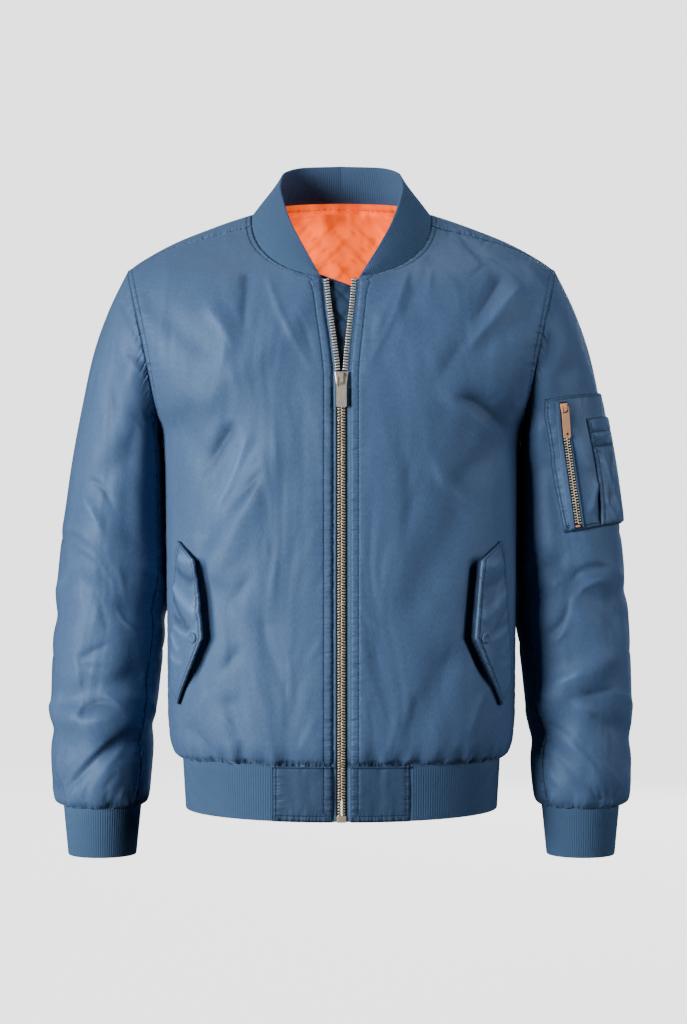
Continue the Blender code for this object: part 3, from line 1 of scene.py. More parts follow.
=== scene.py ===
"""Bomber jacket, filled out as worn: satin shell, knit bands, orange lining, zips and pockets.

Metres, +Z up. +X is the wearer's left, -Y is the front.
"""
from collections import namedtuple
from math import cos, pi, radians, sin
import bmesh
import bpy
import numpy as np
from bpy.props import FloatProperty, FloatVectorProperty, PointerProperty
from mathutils import Matrix, Vector
from mathutils.bvhtree import BVHTree


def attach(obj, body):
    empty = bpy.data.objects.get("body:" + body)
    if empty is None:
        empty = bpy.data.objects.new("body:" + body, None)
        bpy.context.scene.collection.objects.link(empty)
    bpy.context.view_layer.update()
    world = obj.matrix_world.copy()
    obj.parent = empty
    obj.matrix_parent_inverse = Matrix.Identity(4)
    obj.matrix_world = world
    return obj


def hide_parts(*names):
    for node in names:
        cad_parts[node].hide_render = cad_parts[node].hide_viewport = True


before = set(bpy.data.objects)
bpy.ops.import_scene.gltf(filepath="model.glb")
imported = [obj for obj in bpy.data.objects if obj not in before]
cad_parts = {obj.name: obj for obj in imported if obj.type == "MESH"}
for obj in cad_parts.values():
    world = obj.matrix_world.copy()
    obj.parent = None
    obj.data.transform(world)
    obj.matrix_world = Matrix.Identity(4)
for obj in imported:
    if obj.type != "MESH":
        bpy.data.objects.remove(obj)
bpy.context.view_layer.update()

bl_info = {
    "name": "Bomber Jacket",
    "version": (1, 0, 0),
    "blender": (4, 5, 0),
    "location": "3D View > Sidebar > Jacket",
    "description": "Sews the jacket's satin, knit, lining, zips and pockets over its plain form",
    "category": "Object",
}

# ---- Form of the jacket --------------------------------------------------------------------------
CLOTH, LINING_CLOTH = 0.0012, 0.0008
SEAM = 0.0003           # play between neighbours
WELD = 0.00002          # points closer than this become one
NECK_HALF, NECK_FRONT, NECK_DROP = 0.0985, 0.098, 0.0765
NECK_BACK, NECK_RISE, NECK_ROUND = 0.068, 0.018, 0.900
ARM_TOP = np.array((0.2350, 0.008, -0.0600))
ARM_BOTTOM = np.array((0.1985, 0.008, -0.2350))
ARM_HALF_DEPTH, ARM_SCOOP_FRONT, ARM_SCOOP_BACK = 0.080, 0.004, 0.001
CLOSED_EDGE = 0.0095
OPEN_EDGE = {1: 0.0193, -1: 0.0220}
SLIDER_TOP, FRONT_TOP, HEM_SEAM = -0.1805, -0.0757, -0.5960
TAB_EDGE = 0.0730
FRONT_END = -81.0

Row = namedtuple("Row", "name neck mid_z mid_y arm side_z in_yaw in_dip in_pull out_yaw out_dip out_pull")
BODY_ROWS = [
    Row("hem edge", FRONT_END, -0.654, -0.1055, 180, -0.650, 0, 0, .53, 90, 0, .34),
    Row("hem seam", FRONT_END, -0.596, -0.1080, 180, -0.596, 0, 0, .53, 90, 0, .34),
    Row("tuck", FRONT_END, -0.588, -0.1160, 180, -0.588, 0, 0, .53, 90, 0, .34),
    Row("blouse", FRONT_END, -0.572, -0.1205, 180, -0.572, 0, 0, .53, 90, 0, .34),
    Row("low", FRONT_END, -0.545, -0.1215, 180, -0.545, 0, 0, .53, 90, 0, .34),
    Row("waist", FRONT_END, -0.460, -0.1220, 180, -0.460, 0, 0, .53, 90, 0, .34),
    Row("ribs", FRONT_END, -0.330, -0.1230, 180, -0.320, 0, 0, .53, 90, 0, .34),
    Row("underarm", FRONT_END, -0.250, -0.1225, 180, -0.235, 0, 0, .52, 90, 0, .33),
    Row("chest", FRONT_END, -0.212, -0.1215, 145, -0.235, 0, 0, .50, 76, 0, .30),
    Row("upper chest", FRONT_END, -0.172, -0.1180, 113, -0.235, 0, 0, .49, 57, -3, .27),
    Row("collarbone", FRONT_END, -0.115, -0.1085, 80, -0.235, 0, -1, .44, 40, -9, .29),
    Row("front neck", FRONT_END, -0.0757, -0.098, 62, -0.235, 0, -3, .40, 30, -16, .31),
    Row("neck two", -44, 0.0, 0.0, 35, -0.235, 0, -9, .36, 16, -26, .32),
    Row("shoulder seam", -8, 0.0, 0.0, 9, -0.235, 1, -16, .36, 5, -36, .36),
    Row("ridge", 8, 0.0, 0.0, -5, -0.235, 1, -17, .36, 0, -37, .36),
    Row("yoke", 34, 0.0, 0.0, -18, -0.235, 2, -12, .35, -9, -34, .35),
    Row("back neck", 90, 0.018, 0.068, -44, -0.235, 0, -4, .38, -22, -25, .33),
    Row("blade one", 90, -0.030, 0.087, -62, -0.235, 0, -2, .42, -32, -18, .31),
    Row("blade two", 90, -0.112, 0.108, -97, -0.235, 0, 0, .47, -49, -6, .28),
    Row("blade three", 90, -0.145, 0.112, -113, -0.235, 0, 0, .49, -57, -3, .27),
    Row("blade four", 90, -0.192, 0.1148, -145, -0.235, 0, 0, .50, -76, 0, .30),
    Row("back underarm", 90, -0.243, 0.1150, -180, -0.235, 0, 0, .52, -90, 0, .33),
    Row("back ribs", 90, -0.330, 0.1120, -180, -0.320, 0, 0, .53, -90, 0, .34),
    Row("back waist", 90, -0.460, 0.1060, -180, -0.460, 0, 0, .53, -90, 0, .34),
    Row("back low", 90, -0.545, 0.1085, -180, -0.545, 0, 0, .53, -90, 0, .34),
    Row("back blouse", 90, -0.572, 0.1075, -180, -0.572, 0, 0, .53, -90, 0, .34),
    Row("back tuck", 90, -0.588, 0.1030, -180, -0.588, 0, 0, .53, -90, 0, .34),
    Row("back hem seam", 90, -0.596, 0.0955, -180, -0.596, 0, 0, .53, -90, 0, .34),
    Row("back hem edge", 90, -0.654, 0.0930, -180, -0.650, 0, 0, .53, -90, 0, .34),
]
AT = {row.name: float(k) for k, row in enumerate(BODY_ROWS)}
Side = namedtuple("Side", "z x y")
SIDE_LINE = [
    Side(-0.650, 0.1710, 0.000), Side(-0.640, 0.1738, 0.000), Side(-0.596, 0.1742, 0.000),
    Side(-0.588, 0.1830, 0.000), Side(-0.572, 0.1885, 0.000), Side(-0.545, 0.1908, 0.000),
    Side(-0.460, 0.1915, 0.000), Side(-0.360, 0.1925, 0.001), Side(-0.300, 0.1935, 0.003),
    Side(-0.262, 0.1950, 0.006), Side(-0.235, 0.1985, 0.008),
]
Ring = namedtuple("Ring", "name out_x out_z in_x in_z mid_y half_y")
SLEEVE_RINGS = [
    Ring("armhole", 0.2350, -0.0600, 0.1985, -0.2350, 0.008, 0.080),
    Ring("cap", 0.2565, -0.1034, 0.2010, -0.2460, 0.014, 0.083),
    Ring("cap low", 0.2742, -0.1500, 0.1978, -0.2640, 0.024, 0.083),
    Ring("biceps", 0.2882, -0.2100, 0.1958, -0.2920, 0.031, 0.081),
    Ring("upper arm", 0.3005, -0.2750, 0.1948, -0.3400, 0.034, 0.079),
    Ring("elbow", 0.3118, -0.3600, 0.1938, -0.3950, 0.034, 0.076),
    Ring("forearm", 0.3190, -0.4350, 0.1955, -0.4500, 0.031, 0.072),
    Ring("low forearm", 0.3215, -0.5050, 0.2010, -0.5080, 0.027, 0.068),
    Ring("wrist", 0.3225, -0.5600, 0.2060, -0.5600, 0.023, 0.065),
    Ring("full wrist", 0.3200, -0.6200, 0.2105, -0.6180, 0.018, 0.060),
    Ring("blouse", 0.3155, -0.6420, 0.2140, -0.6400, 0.016, 0.054),
    Ring("cuff seam", 0.3070, -0.6500, 0.2215, -0.6500, 0.015, 0.0445),
]
SLEEVE_SEAM = 145.0
CUFF_EDGE_Z, CUFF_EDGE_OUT, CUFF_EDGE_IN, CUFF_EDGE_HALF_Y = -0.7035, 0.3020, 0.2268, 0.0390
Station = namedtuple("Station", "neck x y z")
COLLAR = [
    Station(FRONT_END, 0.0225, -0.0965, -0.0700), Station(-68, 0.0310, -0.0905, -0.0560),
    Station(-52, 0.0430, -0.0750, -0.0350), Station(-36, 0.0550, -0.0530, -0.0110),
    Station(-18, 0.0635, -0.0260, 0.0140), Station(4, 0.0680, 0.0020, 0.0350),
    Station(28, 0.0655, 0.0270, 0.0505), Station(58, 0.0430, 0.0480, 0.0605),
    Station(90, 0.0000, 0.0570, 0.0630),
]
COLLAR_GAP, COLLAR_BULGE = 0.0005, 0.0018
RIB_WALL = 0.0033
LINING_GAP, LINING_EDGE_GAP, BAND_INSIDE, BAND_RISE = 0.0095, 0.0062, 0.0042, 0.10
FLAP_HALF, FLAP_DEPTH, FLAP_TOP = 0.030, 0.0065, (-0.0700, -0.0925)
TAPE_BEHIND, TAPE_REACH, TAPE_INSIDE = 0.0021, 0.0060, 0.0085
ZIP_TOP, TEETH_TOP, TEETH_BOTTOM, CHAIN_TOP = -0.0778, -0.0784, -0.1770, -0.1955
CHAIN_BOTTOM, TAPE_BOTTOM = -0.6462, -0.6535
HEM_GATHERS, HEM_GATHER_DEPTH = 11, 0.0013
CUFF_GATHERS, CUFF_GATHER_DEPTH, GATHER_REACH = 9, 0.0016, 0.030

MM = 0.001
# Soft folds: troughs (negative depth) and ridges as lines on one view of a piece. front and back are
# seen along Y (a is X, b is Z), outside along X (a is Y, b is Z).
# In millimetres: a0, b0, a1, b1, width, depth.
FOLDS = {
    ("front_right", "front"): [
        (-106, -268, -143, -350, 17, -5), (-84, -277, -137, -385, 18, 4.5),
        (-160, -560, -134, -590, 10, -3), (-118, -530, -100, -592, 10, -3),
        (-150, -150, -205, -100, 14, -3), (-30, -110, -110, -180, 16, 2.5),
        (-170, -240, -120, -300, 16, -3), (-80, -450, -50, -580, 18, -3),
    ],
    ("front_left", "front"): [
        (36, -122, 15, -182, 10, 2.5), (27, -535, 36, -592, 8, -3), (60, -120, 120, -190, 16, 2.5),
        (150, -150, 205, -105, 14, -3), (130, -320, 80, -420, 20, -3.5), (110, -490, 70, -585, 16, -3),
        (165, -260, 120, -300, 15, -2.8),
    ],
    ("back", "back"): [
        (-150, -110, -60, -300, 22, 3.5), (155, -100, 75, -290, 22, 4), (-120, -330, -70, -560, 20, -4),
        (105, -360, 60, -575, 20, -3.5), (0, -430, 15, -585, 18, -3), (-180, -260, -110, -290, 15, -3),
    ],
    ("sleeve_right", "front"): [
        (-210, -110, -240, -170, 12, -3.5), (-225, -260, -285, -310, 16, -3.5),
        (-215, -375, -295, -345, 15, 4), (-215, -425, -300, -400, 14, -4),
        (-225, -505, -300, -530, 14, -4.5), (-235, -560, -315, -545, 14, 4.5),
        (-232, -571, -312, -632, 12, -4.5),
    ],
    ("sleeve_left", "front"): [
        (215, -120, 240, -175, 12, -3.5), (222, -280, 250, -360, 15, -3.5),
        (235, -384, 300, -440, 14, -4.5), (218, -535, 290, -485, 14, 4.5), (218, -571, 284, -640, 13, -5),
        (275, -530, 318, -600, 14, -3.5),
    ],
    ("sleeve_right", "back"): [
        (-215, -330, -300, -380, 16, -4.5), (-225, -440, -310, -420, 15, 4.5),
        (-225, -560, -310, -600, 14, -4.5),
    ],
    ("sleeve_left", "back"): [
        (215, -340, 305, -370, 16, -4.5), (220, -450, 310, -430, 15, 4.5),
        (225, -580, 310, -560, 14, -4.5),
    ],
    ("sleeve_left", "outside"): [
        (-30, -420, 70, -400, 14, -3.5), (-30, -560, 60, -590, 14, -3.5),
    ],
    ("sleeve_right", "outside"): [
        (-30, -430, 70, -450, 14, -3.5), (-30, -580, 60, -550, 14, -3.5),
    ],
}
# Creases: thinner and sharper. bend: how far the line bows to its right. rise: share of the length over
# which it deepens, so a crease that starts in a seam has a small one.
# In millimetres: a0, b0, a1, b1, bend, width, depth, and then the rise.
CREASES = {
    ("front_right", "front"): [
        (-177, -78.7, -190.6, -134.4, 0, 5.1, -1.3, .5),
        (-150.7, -94.4, -106.6, -161.7, 0, 8.6, 4.5, .35),
        (-100.3, -67.1, -104.5, -155.4, 0, 7.7, -4, .1), (-80.3, -69.2, -20.4, -189, 6.6, 4.5, 2.2, .1),
        (-52, -108.1, -29.9, -178.5, -5.3, 3.8, -1.5, .3),
        (-121.3, -134.4, -126.6, -178.5, 0, 7.7, 2.7, .5),
        (-110.8, -226.8, -152.8, -292, 0, 7.7, -6.7, .25),
        (-96.1, -237.3, -154.9, -355, -4.7, 8.6, 6.5, .2),
        (-77.2, -273.1, -123.4, -331.9, 0, 7.7, -5.8, .4),
        (-76.1, -201.6, -75.1, -325.6, -5.8, 3.8, 1.3, .4), (-68.8, -362.4, -75.1, -437, 0, 5.1, 1.8, .4),
        (-89.8, -382.3, -125.5, -437, 0, 7.7, -2.4, .4), (-102.4, -462.2, -135, -506.3, 0, 7.7, -2.7, .4),
        (-59.3, -460.1, -57.2, -542, -4.2, 2.6, 1, .4),
        (-26.7, -537.8, -54.1, -591.4, -2.1, 3.2, 1.3, .3),
        (-158.1, -557.8, -128.7, -587.2, .7, 2.6, -.9, .1),
        (-128.7, -541, -104.5, -566.2, 0, 2.2, 1.1, .3),
        (-106.6, -567.3, -106.6, -592.5, 0, 4.5, -1.4, .1),
        (-102.4, -567.3, -91.9, -593.5, 0, 1.9, .8, .2), (-12, -371.8, -30.9, -418.1, 0, 3.8, -.8, .1),
        (-20.4, -460.1, -39.3, -489.5, 0, 3.2, 1, .1), (-167.5, -193.2, -152.8, -233.1, 0, 7.7, -1.6, .6),
        (-142.3, -512.6, -159.1, -548.3, 0, 4.5, 1.6, .3),
    ],
    ("front_left", "front"): [
        (69.9, -69.2, 16.3, -185.9, -7.2, 3.2, 1.7, .1), (96.2, -65, 89.9, -102.9, 0, 3.8, 1.3, .1),
        (82.5, -77.6, 59.4, -134.4, 0, 7.7, -2.2, .3), (173.9, -69.2, 133, -134.4, 0, 7.7, -4.5, .2),
        (196, -78.7, 116.2, -174.3, 0, 8.6, 4.5, .2), (135.1, -134.4, 93, -199.5, 0, 10.3, -3.6, .4),
        (116.2, -201.6, 184.4, -254.2, -11, 12.9, -7.5, .3),
        (97.2, -195.3, 166.6, -245.7, 0, 8.6, 3.5, .4), (94.1, -256.3, 156.1, -330.9, 13.4, 7.7, 4.5, .4),
        (114.1, -311.9, 147.7, -344.5, 0, 4.5, 1.8, .4), (59.4, -239.4, 59.4, -376, -12.6, 9.4, -2.7, .4),
        (17.4, -424.4, 44.7, -452.7, 0, 3.2, 1.4, .1), (19.5, -470.6, 33.1, -480.1, 0, 2.6, 1.1, .1),
        (23.7, -523.1, 31, -567.3, 0, 2.2, 1.3, .2), (32.1, -512.6, 45.8, -563.1, 0, 3.8, -.9, .2),
        (107.7, -591.4, 126.7, -575.7, 0, 2.6, -.8, .1), (82.5, -512.6, 65.7, -577.8, 0, 7.7, -1.9, .3),
        (59.4, -529.4, 48.9, -590.4, 0, 3.8, 1.2, .3), (151.9, -512.6, 135.1, -569.4, 0, 5.1, 1.8, .3),
        (11.1, -355, 27.9, -388.6, 0, 3.2, -.8, .1),
    ],
    ("sleeve_right", "front"): [
        (-240.8, -93.9, -210.5, -154.5, 0, 3.2, -2, .15), (-243, -87.4, -207.3, -152.4, 0, 2.6, 1.3, .2),
        (-237.6, -152.4, -205.1, -176.2, -5.5, 4.5, -2.6, .2),
        (-230, -162.1, -204, -185.9, 0, 2.6, 1.2, .2), (-260.3, -161, -265.7, -226, 0, 5.1, 1.1, .4),
        (-250.6, -182.7, -246.2, -247.7, 0, 7.7, -2.7, .4),
        (-280.9, -288.8, -247.3, -338.6, -12.5, 4.5, -2.6, .2),
        (-289.5, -303.9, -254.9, -362.4, -6.1, 7.7, 5.8, .3),
        (-306.9, -351.6, -274.4, -368.9, -9, 3.8, -1.9, .1),
        (-293.9, -359.2, -244.1, -431.7, -15, 2.9, 1.5, .2),
        (-244.1, -428.4, -208.3, -460.9, 6.5, 2.6, 1.5, .3),
        (-246.2, -375.4, -231.1, -425.2, 0, 5.1, 1.8, .4),
        (-288.5, -373.2, -274.4, -453.3, 4, 5.1, 1.8, .4),
        (-265.7, -410, -250.6, -464.2, 0, 5.1, -1.8, .4),
        (-289.5, -488, -237.6, -464.2, -1.9, 5.1, -2.7, .1),
        (-287.4, -490.2, -233.2, -490.2, 4.3, 3.8, -1.3, .1),
        (-291.7, -464.2, -278.7, -577.8, -.3, 4.5, 1.4, .3),
        (-257.1, -523.7, -233.2, -540, 0, 2.6, 1.6, .1),
        (-284.1, -546.4, -237.6, -538.9, -9.5, 7.7, -6.7, .1),
        (-274.4, -552.9, -235.4, -544.3, 0, 5.1, 1.8, .3),
        (-309, -630.9, -223.5, -552.9, -5.6, 3.2, 2.1, .1),
        (-298.2, -626.6, -225.7, -561.6, -4.1, 4.5, -2.9, .15),
        (-225.7, -575.7, -270.1, -626.6, 4.4, 3.8, 2.2, .3),
        (-239.7, -604.9, -265.7, -639.6, .9, 3.8, -1.7, .3),
        (-278.7, -640.6, -264.6, -611.4, -4.2, 2.6, -1.7, .1),
        (-296, -637.4, -287.4, -617.9, 0, 3.2, 1.7, .1),
        (-257.1, -640.6, -250.6, -624.4, 0, 2.6, -1.6, .1),
        (-241.9, -640.6, -235.4, -622.2, 0, 2.6, 1.3, .1),
        (-231.1, -640.6, -228.9, -620.1, 0, 2.6, -1.2, .1),
    ],
    ("sleeve_left", "front"): [
        (223.6, -126.4, 217.1, -180.5, 0, 8.6, -5, .3), (243.1, -98.3, 247.4, -124.2, 0, 3.2, 1.3, .3),
        (232.3, -91.8, 223.6, -128.6, 0, 3.8, -1.2, .1), (204.1, -200, 197.6, -280.1, 0, 5.1, -1.8, .3),
        (294, -387.3, 240.9, -418.7, 15.1, 5.1, -3.4, .15),
        (245.3, -410, 209.5, -466.3, -13.1, 5.1, -2.9, .3),
        (291.8, -399.2, 244.2, -444.7, 13.8, 5.1, 2.9, .2),
        (247.4, -433.9, 214.9, -473.9, -9.1, 3.2, 1.8, .3), (239.8, -391.6, 229, -412.2, 0, 3.2, 1.5, .3),
        (266.9, -495.6, 220.4, -518.3, 0, 7.7, 4.9, .3), (297.2, -518.3, 243.1, -528, 0, 3.8, -1.9, .2),
        (245.3, -529.1, 286.4, -548.6, 0, 7.7, 4, .4), (214.9, -524.8, 234.4, -540, 0, 2.6, -1.3, .1),
        (217.1, -554, 294, -639.6, -14.4, 2.9, -1.9, .1),
        (243.1, -574.6, 291.8, -637.4, -5.9, 2.6, 1.7, .2),
        (278.8, -594.1, 307, -630.9, -3.7, 2.6, 1.3, .3), (214.9, -588.7, 243.1, -619, 0, 2.6, -1.5, .1),
        (221.4, -585.4, 249.6, -611.4, 0, 2.6, 1.1, .2), (224.7, -609.2, 247.4, -634.1, 0, 3.2, 1.7, .2),
        (212.8, -611.4, 227.9, -637.4, 0, 2.6, -1.2, .1), (276.7, -641.7, 268, -619, .8, 2.6, -1.7, .1),
        (285.3, -641.7, 279.9, -623.3, 0, 2.2, -1.5, .1), (294, -641.7, 288.6, -626.6, 0, 2.2, -1.5, .1),
        (298.3, -641.7, 305.9, -619, -1.4, 2.6, -1.7, .1),
        (252.8, -641.7, 249.6, -626.6, 0, 2.6, -1.2, .1), (232.3, -641.7, 227.9, -628.7, 0, 2.6, 1.2, .1),
    ],
    ("wind_flap", "front"): [
        (-20.5, -13.9, 3.7, -134, 1.3, 3.8, 1.5, .3), (15.3, -12.9, 11.1, -134, 4.3, 3.8, -1.5, .3),
        (-3.6, -11.8, -7.8, -43.4, 0, 2.6, .9, .1),
    ],
    ("back", "back"): [
        (215, -118, 122, -232, 10, 8.5, 3, .1), (205, -150, 100, -262, 8, 7.5, -3, .1),
        (-212, -112, -118, -246, -12, 9, 3.2, .1), (-200, -160, -90, -254, -6, 7, -2.8, .1),
        (-186, -236, -72, -318, 12, 8, -3.4, .1), (188, -232, 86, -340, -10, 8.5, -3.4, .1),
        (182, -252, 104, -300, 4, 6, 2.4, .1), (60, -40, 36, -150, 6, 8, -1.8, .1),
        (-56, -30, -22, -118, -4, 7, 1.8, .1), (10, -60, 18, -170, 4, 10, 1.6, .2),
        (-140, -360, -116, -470, 10, 7, -2.6, .3), (-128, -372, -96, -500, 10, 8, 2.6, .3),
        (150, -384, 112, -492, -12, 7.5, 2.8, .3), (62, -410, 20, -506, 10, 9, -2.6, .4),
        (-30, -380, -46, -480, 6, 8.5, 2, .4), (160, -592, 128, -520, 4, 5.5, -2.8, .1),
        (118, -592, 98, -490, 6, 6, 2.6, .1), (84, -592, 76, -548, 0, 4.2, -2.4, .1),
        (40, -592, 52, -512, -4, 5.5, 2.6, .1), (8, -592, 0, -556, 0, 4, -2.2, .1),
        (-32, -592, -26, -520, 4, 5, -2.6, .1), (-66, -592, -84, -506, 4, 5.8, 2.6, .1),
        (-104, -592, -100, -552, 0, 4, -2.4, .1), (-136, -592, -148, -526, 2, 5.2, -2.8, .1),
        (-160, -592, -170, -560, 0, 4.2, 2.2, .1),
    ],
    ("sleeve_right", "back"): [
        (-226, -104, -250, -194, 4, 6.5, -2.6, .1), (-214, -266, -286, -300, -8, 7, -3.4, .1),
        (-212, -286, -270, -342, 6, 6.2, 2.8, .1), (-300, -360, -226, -392, -10, 6.8, -3.6, .2),
        (-296, -380, -232, -432, 6, 7, 3.4, .2), (-310, -468, -250, -486, -6, 6, -2.8, .2),
        (-224, -504, -292, -546, 10, 5.8, 3, .1), (-228, -538, -300, -604, -8, 5.2, -3.4, .1),
        (-300, -645, -282, -590, 2, 3.8, -2.8, .1), (-284, -645, -262, -610, 2, 3.6, 2.4, .1),
        (-262, -645, -258, -616, 0, 3.2, -2.6, .1), (-240, -645, -248, -600, 0, 4, 2.4, .1),
    ],
    ("sleeve_right", "outside"): [
        (-30, -144, 10, -226, 6, 8, .9, .3), (60, -330, -22, -356, -10, 7.2, -1.7, .2),
        (-34, -372, 58, -420, 10, 7.5, 1.7, .2), (66, -474, -10, -502, 8, 6.4, -1.7, .2),
        (-36, -520, 50, -579, -8, 6, 1.7, .2), (-20, -645, -12, -600, 2, 3.8, -1.5, .1),
        (4, -645, 20, -614, 2, 4, 1.3, .1), (30, -645, 28, -612, 0, 3.6, -1.5, .1),
    ],
    ("sleeve_left", "back"): [
        (226, -104, 250, -184, 4, 6.5, -2.6, .1), (214, -256, 286, -300, 8, 7, -3.4, .1),
        (212, -286, 270, -332, -6, 6.2, 2.8, .1), (300, -350, 226, -392, 10, 6.8, -3.6, .2),
        (296, -380, 232, -422, -6, 7, 3.4, .2), (310, -468, 250, -476, 6, 6, -2.8, .2),
        (224, -494, 292, -546, -10, 5.8, 3, .1), (228, -538, 300, -594, 8, 5.2, -3.4, .1),
        (300, -645, 282, -590, 2, 3.8, -2.8, .1), (284, -645, 262, -600, 2, 3.6, 2.4, .1),
        (262, -645, 258, -616, 0, 3.2, -2.6, .1), (240, -645, 248, -600, 0, 4, 2.4, .1),
    ],
    ("sleeve_left", "outside"): [
        (-30, -134, 10, -226, 6, 8, .9, .3), (60, -330, -22, -346, -10, 7.2, -1.7, .2),
        (-34, -372, 58, -410, 10, 7.5, 1.7, .2), (66, -464, -10, -502, 8, 6.4, -1.7, .2),
        (-36, -520, 50, -569, -8, 6, 1.7, .2), (-20, -645, -12, -600, 2, 3.8, -1.5, .1),
        (4, -645, 20, -604, 2, 4, 1.3, .1), (30, -645, 28, -612, 0, 3.6, -1.5, .1),
    ],
    ("lining_back", "front"): [
        (-60, -12, -40, -110, 6, 7, 2.2, .1), (50, -6, 30, -120, -6, 7, 2.4, .1),
        (6, 6, -10, -90, 4, 6, -2, .1), (26, 4, 40, -60, 2, 4.2, -1.8, .1),
        (-28, 6, -24, -56, 2, 4.2, 1.8, .1),
    ],
}


# ---- Small tools ---------------------------------------------------------------------------------
def pack(x, y, z):
    return np.stack(np.broadcast_arrays(x, y, z), axis=-1).astype(float)


def unit(v):
    return v / np.maximum(np.linalg.norm(v, axis=-1, keepdims=True), 1e-12)


def smooth_step(value):
    value = np.clip(value, 0.0, 1.0)
    return value * value * (3 - 2 * value)


def bell(value):
    """Falls off softly on both sides of 0."""
    return np.exp(-value ** 2)


def monotone(keys, values, where):
    """Smooth line through the values that never passes them."""
    keys, values = np.asarray(keys, float), np.asarray(values, float)
    where = np.clip(where, keys[0], keys[-1])
    spot = np.clip(np.searchsorted(keys, where, side="right") - 1, 0, len(keys) - 2)
    slopes = np.diff(values) / np.diff(keys)
    product = slopes[:-1] * slopes[1:]
    total = np.where(product > 0, slopes[:-1] + slopes[1:], 1.0)
    tangents = np.concatenate([slopes[:1], np.where(product > 0, 2 * product / total, 0.0), slopes[-1:]])
    span = keys[spot + 1] - keys[spot]
    f = (where - keys[spot]) / span
    f2, f3 = f * f, f * f * f
    return ((2 * f3 - 3 * f2 + 1) * values[spot] + (f3 - 2 * f2 + f) * span * tangents[spot]
            + (3 * f2 - 2 * f3) * values[spot + 1] + (f3 - f2) * span * tangents[spot + 1])


def column(rows, field):
    return [getattr(row, field) for row in rows]


def between(rows, field, t):
    return monotone(range(len(rows)), column(rows, field), t)


def heading(yaw, dip):
    yaw, dip = np.radians(yaw), np.radians(dip)
    return pack(np.cos(yaw) * np.cos(dip), np.sin(yaw) * np.cos(dip), np.sin(dip))


def lengths_along(points):
    """Distance of each point from the first, along the last but one axis."""
    steps = np.linalg.norm(np.diff(points, axis=-2), axis=-1)
    return np.concatenate([np.zeros(steps.shape[:-1] + (1,)), np.cumsum(steps, axis=-1)], axis=-1)


def lengths_down(points):
    """Distance of each point of a grid from the first of its column."""
    return lengths_along(points.transpose(1, 0, 2)).T


def along_line(points, places):
    """Points of a line at given distances from its start."""
    gone = lengths_along(points)
    return np.stack([np.interp(places, gone, points[:, k]) for k in range(3)], axis=-1)


def resample(points, count):
    return along_line(points, np.linspace(0, lengths_along(points)[-1], count))


EDGE_MARKS, EDGE_ZONE = (0.0007, 0.0016, 0.0030), 0.0050


def spread(length, step, extra=()):
    """Distances from 0 to a length: even, closer at both ends, and round the extra ones."""
    count = max(2, round((length - 2 * EDGE_ZONE) / step) + 1)
    marks = [0.0, *EDGE_MARKS, *np.linspace(EDGE_ZONE, length - EDGE_ZONE, count)]
    marks += [length - mark for mark in EDGE_MARKS] + [length]
    for place in extra:
        marks = [mark for mark in marks if not 0 < abs(mark - place) < 0.0017 or mark in (0.0, length)]
        marks += [place - 0.0012, place, place + 0.0012]
    return np.array(sorted(marks))


# ---- Form of body and sleeves --------------------------------------------------------------------
def neck_point(angle):
    c, s = np.cos(np.radians(angle)), np.sin(np.radians(angle))
    low, high = np.abs(np.minimum(s, 0)) ** NECK_ROUND, np.maximum(s, 0)
    return pack(NECK_HALF * np.maximum(c, 0) ** NECK_ROUND, NECK_BACK * high - NECK_FRONT * low,
                NECK_RISE * high - NECK_DROP * low)


def armhole_point(angle):
    c, s = np.cos(np.radians(angle)), np.sin(np.radians(angle))
    point = (ARM_TOP + ARM_BOTTOM) / 2 + (ARM_TOP - ARM_BOTTOM) / 2 * np.asarray(c)[..., None]
    scoop = np.where(s > 0, ARM_SCOOP_FRONT, ARM_SCOOP_BACK) * s * s
    return point - pack(scoop, ARM_HALF_DEPTH * s, 0 * s)


def side_point(z):
    keys = column(SIDE_LINE, "z")
    return pack(monotone(keys, column(SIDE_LINE, "x"), z), monotone(keys, column(SIDE_LINE, "y"), z), z)


def front_edge(z, side):
    """Distance of a front's edge from the middle line: closed below the slider, open above it."""
    share = (z - SLIDER_TOP) / (FRONT_TOP - SLIDER_TOP)
    opened = smooth_step(share) * 0.45 + 0.55 * np.clip(share, 0, 1)
    return CLOSED_EDGE + (OPEN_EDGE[side] - CLOSED_EDGE) * opened


def neck_end(side):
    return -np.degrees(np.arccos((OPEN_EDGE[side] / NECK_HALF) ** (1 / NECK_ROUND)))


